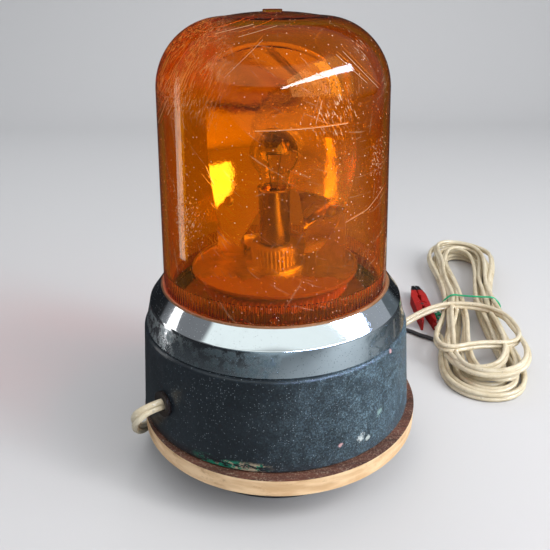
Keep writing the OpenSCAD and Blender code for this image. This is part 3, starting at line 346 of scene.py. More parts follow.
def tube(name, centres, section, material, rolls=None):
    """Sweeps a section of (side, up) points along centres. The up side stays upright, turned by rolls.
    UV u runs along the tube in metres, and v round it."""
    bm = bmesh.new()
    uv = bm.loops.layers.uv.new("UVMap")
    rings, along, distance = [], [], 0.0
    last = len(centres) - 1
    for i, p in enumerate(centres):
        t = (centres[min(i + 1, last)] - centres[max(i - 1, 0)]).normalized()
        side = t.cross(Vector((0, 0, 1)))
        side = side.normalized() if side.length > 1e-6 else Vector((1, 0, 0))
        up = side.cross(t)
        if rolls:
            turn = Matrix.Rotation(rolls[i], 3, t)
            side, up = turn @ side, turn @ up
        rings.append([bm.verts.new(p + side * s + up * h) for s, h in section])
        if i:
            distance += (p - centres[i - 1]).length
        along.append(distance)
    n = len(section)
    for i in range(last):
        for j in range(n):
            k = (j + 1) % n
            face = bm.faces.new([rings[i][j], rings[i][k], rings[i + 1][k], rings[i + 1][j]])
            low, high = j / n, (j + 1) / n
            spots = [(along[i], low), (along[i], high), (along[i + 1], high), (along[i + 1], low)]
            for loop, spot in zip(face.loops, spots):
                loop[uv].uv = spot
    bm.faces.new(list(reversed(rings[0])))
    bm.faces.new(rings[-1])
    return finish_mesh(name, bm, material, 50.0)


def twin_section(width, thick, n=9):
    """Outline of a flat twin flex: two round cores, one above the other, with a groove between them."""
    r, off = thick / 2, (width - thick) / 2
    web = math.degrees(math.asin(off * 0.93 / r))
    top = arc(0.0, off, r, -web, 180 + web, n)
    low = [(-x, -y) for x, y in top]
    return [(x * MM, y * MM) for x, y in top + low]


def round_section(r, n=12):
    return [(r * math.cos(2 * math.pi * i / n), r * math.sin(2 * math.pi * i / n)) for i in range(n)]


# Helpers for material nodes


class Nodes:
    """Adds nodes to a tree in short calls."""

    def __init__(self, tree):
        self.tree = tree

    def add(self, kind, inputs=None, **settings):
        made = self.tree.nodes.new(kind)
        for key, value in settings.items():
            setattr(made, key, value)
        for key, value in (inputs or {}).items():
            self.put(made.inputs[key], value)
        return made

    def put(self, socket, value):
        if isinstance(value, bpy.types.NodeSocket):
            self.tree.links.new(value, socket)
        elif isinstance(value, (tuple, list)) and len(value) == 3 and socket.type == "RGBA":
            socket.default_value = (*value, 1.0)
        else:
            socket.default_value = value

    def math(self, op, a, b=0.0, c=0.0, clamp=False):
        made = self.add("ShaderNodeMath", operation=op, use_clamp=clamp)
        for socket, value in zip(made.inputs, (a, b, c)):
            self.put(socket, value)
        return made.outputs[0]

    def plus(self, a, b):
        return self.math("ADD", a, b)

    def minus(self, a, b):
        return self.math("SUBTRACT", a, b)

    def times(self, *values):
        product = values[0]
        for value in values[1:]:
            product = self.math("MULTIPLY", product, value)
        return product

    def scaled(self, value, factor, offset):
        return self.math("MULTIPLY_ADD", value, factor, offset)

    def larger(self, a, b):
        return self.math("MAXIMUM", a, b)

    def dot(self, vector, axis):
        made = self.add("ShaderNodeVectorMath", {0: vector, 1: axis}, operation="DOT_PRODUCT")
        return made.outputs["Value"]

    def xyz(self, vector):
        return self.add("ShaderNodeSeparateXYZ", {"Vector": vector}).outputs

    def ramp(self, value, low, high):
        """0 below low and 1 above high, smooth between them."""
        made = self.add("ShaderNodeMapRange", {"Value": value, "From Min": low, "From Max": high},
                        interpolation_type="SMOOTHSTEP")
        return made.outputs["Result"]

    def mix(self, share, a, b):
        made = self.add("ShaderNodeMix", data_type="RGBA")
        for index, value in ((0, share), (6, a), (7, b)):
            self.put(made.inputs[index], value)
        return made.outputs[2]

    def noise(self, vector, scale, detail=3.0, rough=0.5):
        made = self.add("ShaderNodeTexNoise", {"Vector": vector, "Scale": scale, "Detail": detail,
                                              "Roughness": rough})
        return made.outputs["Fac"]

    def stretch(self, vector, scale, turn=(0, 0, 0)):
        made = self.add("ShaderNodeMapping", {"Vector": vector, "Rotation": turn, "Scale": scale})
        return made.outputs["Vector"]

    def hairs(self, place, turn, squeeze):
        """Coordinates turned, then squeezed, so that a noise becomes fine lines."""
        return self.stretch(self.stretch(place, (1, 1, 1), turn), squeeze)

    def place(self):
        return self.add("ShaderNodeTexCoord").outputs["Object"]

    def bump(self, height, strength, distance):
        made = self.add("ShaderNodeBump", {"Height": height, "Strength": strength, "Distance": distance})
        return made.outputs["Normal"]

    def group(self, name, place, **inputs):
        made = self.add("ShaderNodeGroup", node_tree=bpy.data.node_groups[name])
        for key, value in {"Vector": place, **inputs}.items():
            self.put(made.inputs[key], value)
        return made.outputs

    def fac(self, name, place, **inputs):
        return self.group(name, place, **inputs)["Fac"]

    def surface(self, **sockets):
        shader = self.add("ShaderNodeBsdfPrincipled")
        for key, value in sockets.items():
            self.put(shader.inputs[key.replace("_", " ")], value)
        return shader.outputs[0]

    def output(self, shader):
        self.add("ShaderNodeOutputMaterial", {"Surface": shader})

    def output_clear(self, shader, tint):
        """Puts out a clear shader that shadow and diffuse rays pass straight, tinted."""
        through = self.add("ShaderNodeBsdfTransparent", {"Color": tint}).outputs[0]
        path = self.add("ShaderNodeLightPath").outputs
        bounced = self.larger(path["Is Shadow Ray"], path["Is Diffuse Ray"])
        self.output(self.add("ShaderNodeMixShader", {0: bounced, 1: shader, 2: through}).outputs[0])


def new_material(name):
    """A material with an empty tree, the helper that fills the tree, and its object coordinates."""
    mat = bpy.data.materials.new(name + "_finish")
    mat.use_nodes = True
    mat.node_tree.nodes.clear()
    n = Nodes(mat.node_tree)
    return mat, n, n.place()


def toned(tone, factor, lift=0.0):
    """A colour made brighter or darker."""
    return tuple(c * factor + lift for c in tone)


def tinted(tone, factors):
    """A colour times another."""
    return tuple(c * f for c, f in zip(tone, factors))


def new_group(name, values, outputs=("Fac",)):
    """A shader node group that takes a Vector and named values, and its input and output nodes."""
    tree = bpy.data.node_groups.new(name, "ShaderNodeTree")
    tree.interface.new_socket("Vector", in_out="INPUT", socket_type="NodeSocketVector")
    for label, value in values.items():
        socket = tree.interface.new_socket(label, in_out="INPUT", socket_type="NodeSocketFloat")
        socket.default_value = value
    for label in outputs:
        tree.interface.new_socket(label, in_out="OUTPUT", socket_type="NodeSocketFloat")
    nodes = Nodes(tree)
    return nodes, nodes.add("NodeGroupInput").outputs, nodes.add("NodeGroupOutput").inputs


def make_specks_group():
    """Small round specks scattered over a surface. Fac is 1 on a speck."""
    n, given, out = new_group("Specks", {"Scale": 900.0, "Share": 0.3, "Size": 0.3})
    cells = n.add("ShaderNodeTexVoronoi", {"Vector": given["Vector"], "Scale": given["Scale"]}).outputs
    random = n.add("ShaderNodeSeparateColor", {"Color": cells["Color"]}).outputs[0]
    inside = n.math("LESS_THAN", cells["Distance"], n.times(random, given["Size"]))
    chosen = n.math("GREATER_THAN", n.plus(random, given["Share"]), 1.0)
    n.put(out["Fac"], n.times(inside, chosen))


def make_scuffs_group():
    """Fine hairline scuffs in two crossing directions. Fac is about 1 on a hairline."""
    n, given, out = new_group("Scuffs", {"Scale": 60.0, "Amount": 0.4})
    lines = []
    for turn, squeeze in (((0.3, 0.5, 0.2), (1, 30, 1)), ((0.9, 0.1, 1.1), (24, 1, 1))):
        grain = n.noise(n.hairs(given["Vector"], turn, squeeze), given["Scale"], 2.0)
        lines.append(n.ramp(grain, 0.66, 0.74))
    n.put(out["Fac"], n.times(n.larger(*lines), given["Amount"]))


def make_grime_group():
    """Soft cloudy dirt. Fac goes from 0 on clean parts to 1."""
    n, given, out = new_group("Grime", {"Scale": 30.0, "Amount": 0.5})
    cloud = n.noise(given["Vector"], given["Scale"], 6.0, 0.65)
    n.put(out["Fac"], n.times(n.ramp(cloud, 0.42, 0.7), given["Amount"]))


def make_wood_group():
    """Long wood grain along X. Fac goes with the grain, and Height is its relief."""
    n, given, out = new_group("Wood Grain", {"Scale": 60.0}, ("Fac", "Height"))
    stretched = n.stretch(given["Vector"], (0.08, 1, 1))
    coarse = n.noise(stretched, given["Scale"], 4.0)
    fine = n.noise(stretched, n.times(given["Scale"], 9.0), 3.0)
    both = n.plus(n.times(coarse, 0.65), n.times(fine, 0.35))
    n.put(out["Fac"], n.ramp(both, 0.36, 0.64))
    n.put(out["Height"], fine)


# Finishes. Levels and places in them are metres, in the frame that the solids share.

# The long scratches on the front of the lens: two ends as (x, z) and a half width, in millimetres
LENS_SCRATCHES = [
    (-50, 205, -38, 222, 0.18), (-47, 196, -30, 226, 0.14), (-54, 190, -46, 204, 0.16),
    (-7.7, 193.5, 31.6, 194.7, 0.22), (20, 205, 17.5, 195.7, 0.15), (31.7, 151, 43, 154, 0.16),
    (43, 154, 51.7, 160.5, 0.16), (-20, 214, -4, 228, 0.12), (-24, 230, -8, 233.5, 0.16),
    (-14, 229, 2, 233, 0.12), (26, 222, 40, 210, 0.14), (29, 223, 46, 207, 0.12),
]

# Patches of fine scratches on the lens: a point and a radius, in millimetres
LENS_SCUFFED = [
    (24.0, -44.0, 198.0, 13.0), (46.0, -30.0, 176.0, 9.0), (-40.0, -42.0, 150.0, 10.0),
    (36.0, -28.0, 222.0, 7.0),
]

# A smear on the ring's band, given as a scratch is
RING_SMEAR = (60.6, 84.5, 60.0, 93.5, 1.2)

# Dried blots on the housing: a point, a radius and a colour. White paint, pink paint and green corrosion.
HOUSING_BLOTS = [
    ((42.0, -62.5, 42.2), 2.6, (0.55, 0.60, 0.60)), ((45.5, -60.0, 40.6), 1.6, (0.50, 0.56, 0.55)),
    ((31.3, -68.5, 43.0), 1.2, (0.60, 0.34, 0.34)), ((57.4, -44.2, 81.0), 1.3, (0.60, 0.36, 0.38)),
    ((52.5, -54.0, 51.5), 2.2, (0.22, 0.34, 0.32)),
]


def blot_mask(n, place, x, y, z, radius):
    """1 inside a ragged blot round a point, in millimetres."""
    radius *= MM
    off = n.add("ShaderNodeVectorMath", {0: place, 1: (x * MM, y * MM, z * MM)}, operation="DISTANCE")
    ragged = n.scaled(n.noise(place, 500.0, 6.0, 0.8), 4.4 * radius, -2.2 * radius)
    return n.ramp(n.plus(off.outputs["Value"], ragged), radius, 0.6 * radius)


def scratch_mask(n, place, ends):
    """1 near the segment between two ends in the XZ plane, on the front side."""
    x0, z0, x1, z1, half = [v * MM for v in ends]
    x, y, z = n.xyz(place)
    run = math.hypot(x1 - x0, z1 - z0)
    dx, dz = (x1 - x0) / run, (z1 - z0) / run
    rx, rz = n.minus(x, x0), n.minus(z, z0)
    along = n.plus(n.times(rx, dx), n.times(rz, dz))
    off = n.minus(n.times(rx, dz), n.times(rz, dx))
    near = n.ramp(n.math("ABSOLUTE", off), half, half * 0.3)
    started = n.math("GREATER_THAN", along, 0.0)
    ended = n.math("LESS_THAN", along, run)
    front = n.math("LESS_THAN", y, 0.0)
    return n.times(near, started, ended, front)


def amber_lens_material(name, amber):
    """Clear amber plastic, scratched, that lets the light through to what is inside."""
    mat, n, place = new_material(name)
    x, _, z = n.xyz(place)
    shoulder = n.times(n.ramp(z, 0.190, 0.212), n.ramp(x, -0.012, -0.034))
    slanted = n.hairs(place, (0, -0.47, 0), (16, 16, 1))
    rubbed = n.ramp(n.noise(slanted, 95.0, 2.0), 0.50, 0.60)
    rubbed = n.times(rubbed, n.ramp(n.noise(place, 110.0, 3.0), 0.36, 0.54), shoulder)
    marks = n.larger(n.fac("Scuffs", place, Scale=55.0, Amount=0.30), rubbed)
    for spot_x, spot_y, spot_z, radius in LENS_SCUFFED:
        near = blot_mask(n, place, spot_x, spot_y, spot_z, radius)
        slanted = n.hairs(place, (0, spot_x * 0.02, 0), (12, 12, 1))
        marks = n.larger(marks, n.times(near, n.ramp(n.noise(slanted, 110.0, 3.0), 0.56, 0.66)))
    for ends in LENS_SCRATCHES:
        marks = n.larger(marks, scratch_mask(n, place, ends))
    dust = n.fac("Specks", place, Scale=520.0, Share=0.30, Size=0.16)
    grime = n.fac("Grime", place, Scale=45.0, Amount=0.5)
    edge = n.add("ShaderNodeLayerWeight", {"Blend": 0.5}).outputs["Facing"]
    deep = n.mix(n.ramp(edge, 0.42, 0.85), amber, tinted(amber, (0.95, 0.24, 0.2)))
    pale = n.mix(shoulder, (1.0, 0.86, 0.62), (1.0, 0.46, 0.06))
    shader = n.surface(
        Base_Color=n.mix(n.times(marks, 0.8), deep, pale),
        Roughness=n.plus(n.times(marks, 0.22), n.scaled(grime, 0.07, 0.02)),
        Transmission_Weight=1.0, IOR=1.49, Specular_Tint=(1.0, 0.78, 0.5),
        Normal=n.bump(n.times(marks, -1.0), 0.3, 0.0002),
    )
    chalk = n.mix(shoulder, (1.0, 0.62, 0.38), (1.0, 0.36, 0.06))
    chalky = n.add("ShaderNodeBsdfDiffuse", {"Color": chalk}).outputs[0]
    cover = n.larger(n.times(marks, 0.38), n.times(dust, 0.6))
    n.output_clear(n.add("ShaderNodeMixShader", {0: cover, 1: shader, 2: chalky}).outputs[0], amber)
    return mat


def clear_glass_material():
    mat, n, _ = new_material("clear_glass")
    tint = (0.95, 0.95, 0.93)
    n.output_clear(n.surface(Base_Color=tint, Roughness=0.02, Transmission_Weight=1.0, IOR=1.45), tint)
    return mat


def chrome_material(name, tone, rough, worn=False):
    """Bright plating with a thin haze. Where worn, its band is pitted and clouded with blue-grey dirt."""
    mat, n, place = new_material(name)
    haze = n.fac("Grime", place, Scale=26.0, Amount=1.0)
    base = n.mix(haze, tone, toned(tone, 0.86))
    dull = n.times(haze, 0.10)
    if worn:
        x, _, z = n.xyz(place)
        band = n.ramp(z, 0.0950, 0.0935)
        sides = n.larger(n.ramp(x, 0.004, -0.001), n.ramp(x, 0.040, 0.050))
        pitted = n.times(n.fac("Specks", place, Scale=1500.0, Share=0.2, Size=0.34), band)
        clouded = n.times(n.ramp(n.noise(place, 210.0, 6.0, 0.7), 0.40, 0.62), band, sides)
        dust = n.fac("Specks", place, Scale=1100.0, Share=0.35, Size=0.22)
        dusty = n.times(dust, n.larger(sides, 0.12))
        smear = scratch_mask(n, place, RING_SMEAR)
        base = n.mix(n.times(clouded, 0.75), base, (0.13, 0.19, 0.21))
        base = n.mix(n.times(pitted, 0.6), base, (0.16, 0.15, 0.14))
        base = n.mix(n.times(dusty, 0.7), base, (0.62, 0.66, 0.68))
        base = n.mix(n.times(smear, 0.9), base, (0.62, 0.58, 0.50))
        dull = n.plus(dull, n.times(n.larger(clouded, n.larger(dusty, smear)), 0.35))
    n.output(n.surface(Base_Color=base, Metallic=1.0, Roughness=n.plus(dull, rough),
                       Normal=n.bump(haze, 0.05, 0.0004)))
    return mat


def enamel_material(tone):
    """Blue-black enamel: a fine pale-blue speckle that thickens to the right as a painted highlight, chips at
    the lower edge and dried blots.
    """
    mat, n, place = new_material("housing_enamel")
    x, y, z = n.xyz(place)
    cloud = n.noise(place, 30.0, 6.0, 0.65)
    dark = n.mix(n.ramp(cloud, 0.35, 0.7), tone, toned(tone, 1.8, 0.002))
    # Partly real speckle and partly painted highlight: the pale-blue speckle grows towards the right, where
    # the light falls.
    bloom_and_painted_highlight = n.ramp(n.plus(x, n.scaled(cloud, 0.05, -0.025)), -0.020, 0.062)
    grains = n.ramp(n.noise(place, 950.0, 4.0, 0.9), 0.46, 0.62)
    patches = n.ramp(n.noise(place, 170.0, 5.0, 0.7), 0.36, 0.66)
    veil_and_painted_highlight = n.times(n.scaled(bloom_and_painted_highlight, 0.94, 0.06), n.scaled(patches, 0.6, 0.4))
    base = n.mix(n.times(n.scaled(grains, 0.9, 0.2), veil_and_painted_highlight), dark, (0.15, 0.235, 0.285))
    specks = n.fac("Specks", place, Scale=1000.0, Share=0.45, Size=0.24)
    base = n.mix(n.times(specks, 0.6), base, (0.32, 0.38, 0.42))
    edge = n.times(n.ramp(z, 0.0385, 0.0360), n.ramp(y, -0.055, -0.060))
    left_of_middle = n.ramp(n.math("ABSOLUTE", n.plus(x, 0.022)), 0.022, 0.012)
    flakes = n.noise(n.stretch(place, (0.5, 0.5, 1.6)), 210.0, 6.0, 0.8)
    chips = n.times(n.ramp(flakes, 0.48, 0.51), edge, left_of_middle)
    paleness = n.scaled(n.ramp(x, -0.028, -0.008), 0.14, n.noise(place, 330.0, 4.0, 0.7))
    chip_tone = n.mix(n.ramp(paleness, 0.57, 0.62), (0.006, 0.24, 0.14), (0.46, 0.38, 0.27))
    base = n.mix(n.times(chips, 0.9), base, chip_tone)
    for spot, radius, paint_tone in HOUSING_BLOTS:
        base = n.mix(n.times(blot_mask(n, place, *spot, radius), 0.85), base, paint_tone)
    rough = n.plus(0.27, n.times(n.larger(chips, veil_and_painted_highlight), 0.3))
    relief = n.minus(n.times(n.plus(cloud, patches), 0.3), n.times(chips, 0.6))
    n.output(n.surface(Base_Color=base, Roughness=rough, Normal=n.bump(relief, 0.3, 0.0006)))
    return mat


def wood_material(stain):
    """Stained board with a raw, sawn edge: red-brown faces with pale grit, and a rim of bare wood."""
    mat, n, place = new_material("stained_wood")
    upright = n.xyz(n.add("ShaderNodeNewGeometry").outputs["Normal"])[2]
    face = n.ramp(n.math("ABSOLUTE", upright), 0.35, 0.75)
    grain = n.group("Wood Grain", place, Scale=75.0)
    stained = n.mix(grain["Fac"], toned(stain, 0.35), toned(stain, 1.1))
    grit = n.ramp(n.noise(place, 750.0, 4.0, 0.85), 0.50, 0.62)
    patchy = n.ramp(n.noise(place, 90.0, 5.0, 0.7), 0.42, 0.60)
    stained = n.mix(n.times(grit, n.scaled(patchy, 0.5, 0.25)), stained, (0.44, 0.35, 0.26))
    plies = n.ramp(n.noise(n.stretch(place, (0.6, 0.6, 3.0)), 90.0, 4.0), 0.30, 0.70)
    raw = n.mix(plies, (0.62, 0.39, 0.20), (0.84, 0.60, 0.36))
    burns = n.ramp(n.noise(n.stretch(place, (1, 1, 2.2)), 75.0, 6.0, 0.75), 0.54, 0.70)
    raw = n.mix(n.times(burns, 0.6), raw, (0.30, 0.14, 0.05))
    rough = n.plus(0.5, n.times(grain["Fac"], 0.15))
    relief = n.plus(grain["Height"], plies)
    n.output(n.surface(Base_Color=n.mix(face, raw, stained), Roughness=rough,
                       Normal=n.bump(relief, 0.35, 0.0005)))
    return mat


def dull_paint_material(name, tone, rough):
    """Old paint with a little dust."""
    mat, n, place = new_material(name)
    grime = n.fac("Grime", place, Scale=60.0, Amount=0.6)
    dust = n.fac("Specks", place, Scale=800.0, Share=0.3, Size=0.24)
    base = n.mix(grime, tone, toned(tone, 1.6, 0.01))
    base = n.mix(n.times(dust, 0.4), base, (0.3, 0.3, 0.3))
    n.output(n.surface(Base_Color=base, Roughness=n.scaled(grime, 0.2, rough),
                       Normal=n.bump(n.noise(place, 300.0), 0.15, 0.0004)))
    return mat


def metal_material(name, tone, rough):
    """Plain metal with fine scuffs and tarnish."""
    mat, n, place = new_material(name)
    scuffs = n.fac("Scuffs", place, Scale=120.0, Amount=0.3)
    tarnish = n.fac("Grime", place, Scale=90.0, Amount=0.7)
    n.output(n.surface(Base_Color=n.mix(tarnish, tone, toned(tone, 0.6)), Metallic=1.0,
                       Roughness=n.plus(n.scaled(tarnish, 0.2, rough), n.times(scuffs, 0.2)),
                       Normal=n.bump(scuffs, 0.2, 0.0002)))
    return mat


def worn_aluminium_material():
    """Turntable sheet: bare metal at the back, and a duller, less metallic grey tone over the front with a
    ragged edge and flaked holes.
    """
    mat, n, place = new_material("worn_aluminium")
    # The front tone: a duller, less metallic grey up to a ragged line, broken by flakes.
    ragged = n.scaled(n.noise(n.stretch(place, (1, 0.3, 0.3)), 70.0, 5.0, 0.75), 0.030, -0.034)
    painted = n.ramp(n.minus(n.xyz(place)[1], ragged), 0.0004, -0.0004)
    flakes = n.ramp(n.noise(place, 220.0, 5.0, 0.7), 0.62, 0.66)
    painted = n.times(painted, n.minus(1.0, n.times(flakes, 0.7)))
    tarnish = n.fac("Grime", place, Scale=80.0, Amount=0.8)
    metal = n.mix(tarnish, (0.80, 0.79, 0.76), (0.5, 0.48, 0.44))
    n.output(n.surface(Base_Color=n.mix(painted, metal, (0.42, 0.50, 0.42)),
                       Metallic=n.scaled(painted, -0.6, 1.0), Roughness=n.scaled(painted, 0.2, 0.34),
                       Normal=n.bump(painted, 0.5, 0.0003)))
    return mat


def mirror_material():
    """Bright plated reflector with faint swirls."""
    mat, n, place = new_material("reflector_plate")
    haze = n.fac("Grime", place, Scale=35.0, Amount=0.8)
    scuffs = n.fac("Scuffs", place, Scale=70.0, Amount=0.4)
    n.output(n.surface(Base_Color=n.mix(haze, (0.93, 0.91, 0.87), (0.78, 0.74, 0.68)), Metallic=1.0,
                       Roughness=n.plus(n.scaled(haze, 0.05, 0.05), n.times(scuffs, 0.10)),
                       Normal=n.bump(haze, 0.08, 0.0008)))
    return mat


def vinyl_material(name, tone, rough=0.38, soil=0.5):
    """Soft vinyl with dirt rubbed into it."""
    mat, n, place = new_material(name)
    dirt = n.fac("Grime", place, Scale=70.0, Amount=soil)
    specks = n.fac("Specks", place, Scale=420.0, Share=0.16, Size=0.3)
    base = n.mix(dirt, tone, tinted(tone, (0.72, 0.66, 0.56)))
    base = n.mix(n.times(specks, 0.5 * soil), base, toned(tone, 0.35))
    n.output(n.surface(Base_Color=base, Roughness=n.scaled(dirt, 0.18, rough),
                       Normal=n.bump(n.noise(place, 260.0, 3.0), 0.12, 0.0004)))
    return mat


def rubber_material(name, tone, pale=0.02):
    """Dull rubber with dust on it; pale is how much the dust lightens it."""
    mat, n, place = new_material(name)
    dust = n.fac("Grime", place, Scale=120.0, Amount=0.5)
    n.output(n.surface(Base_Color=n.mix(dust, tone, toned(tone, 1.7, pale)),
                       Roughness=n.scaled(dust, 0.15, 0.62),
                       Normal=n.bump(n.noise(place, 500.0), 0.2, 0.0003)))
    return mat


def clip_material(name, tone, at, turn):
    """Vinyl on the handles and body of a clip, and bare steel at its nose."""
    mat, n, place = new_material(name)
    sin, cos = math.sin(math.radians(turn)), math.cos(math.radians(turn))
    start = (-at[0] * sin + at[1] * cos + SLEEVE_END_Y) * MM
    steel = n.ramp(n.dot(place, (-sin, cos, 0)), start, start + 0.0004)
    dirt = n.fac("Grime", place, Scale=90.0, Amount=0.6)
    soft = n.mix(dirt, tone, toned(tone, 0.6))
    base = n.mix(steel, soft, n.mix(dirt, (0.42, 0.42, 0.43), (0.2, 0.19, 0.18)))
    n.output(n.surface(Base_Color=base, Metallic=steel, Roughness=n.scaled(dirt, 0.15, 0.34),
                       Normal=n.bump(n.noise(place, 240.0), 0.12, 0.0004)))
    return mat


# The finishes of small pieces: what makes each, its colour and further values
PLAIN_FINISHES = {
    "zinc_steel": (metal_material, (0.56, 0.56, 0.54), 0.38),
    "bright_steel": (metal_material, (0.66, 0.66, 0.67), 0.2),
    "bronze": (metal_material, (0.46, 0.27, 0.12), 0.3),
    "brass": (metal_material, (0.70, 0.50, 0.20), 0.28),
    "solder": (metal_material, (0.52, 0.52, 0.52), 0.45),
    "tungsten": (metal_material, (0.22, 0.22, 0.23), 0.5),
    "bare_aluminium": (metal_material, (0.72, 0.71, 0.69), 0.34),
    "ferrite": (dull_paint_material, (0.05, 0.05, 0.055), 0.6),
    "foot_paint": (dull_paint_material, (0.035, 0.036, 0.042), 0.42),
    "brown_board": (dull_paint_material, (0.14, 0.055, 0.025), 0.5),
    "black_plastic": (dull_paint_material, (0.02, 0.02, 0.02), 0.4),
    "ivory_nylon": (vinyl_material, (0.70, 0.64, 0.50), 0.45, 0.3),
    "red_wire": (vinyl_material, (0.40, 0.02, 0.02)),
    "grey_wire": (vinyl_material, (0.05, 0.05, 0.055)),
    "green_tie": (vinyl_material, (0.02, 0.40, 0.19), 0.3, 0.3),
    "black_rubber": (rubber_material, (0.018, 0.018, 0.018)),
    "brown_rubber": (rubber_material, (0.016, 0.009, 0.007), 0.004),
    "pale_seal": (rubber_material, (0.30, 0.15, 0.07)),
}


def plain_finish(name):
    """The finish of a small piece, by its short name, made once."""
    if name + "_finish" in bpy.data.materials:
        return bpy.data.materials[name + "_finish"]
    maker, *values = PLAIN_FINISHES[name]
    return maker(name, *values)


def dress_plain(*rows):
    """Dresses nodes in plain finishes: each row is a finish and its nodes."""
    for finish, *nodes in rows:
        for node in nodes:
            dress(node, plain_finish(finish), finish)


def paint_plain(*rows):
    """Paints nodes that keep their own mesh: each row is a finish and its nodes."""
    for finish, *nodes in rows:
        paint(plain_finish(finish), *nodes)


# Operators


def sizes():
    return bpy.context.scene.beacon_sizes


def colours():
    return bpy.context.scene.beacon_colours


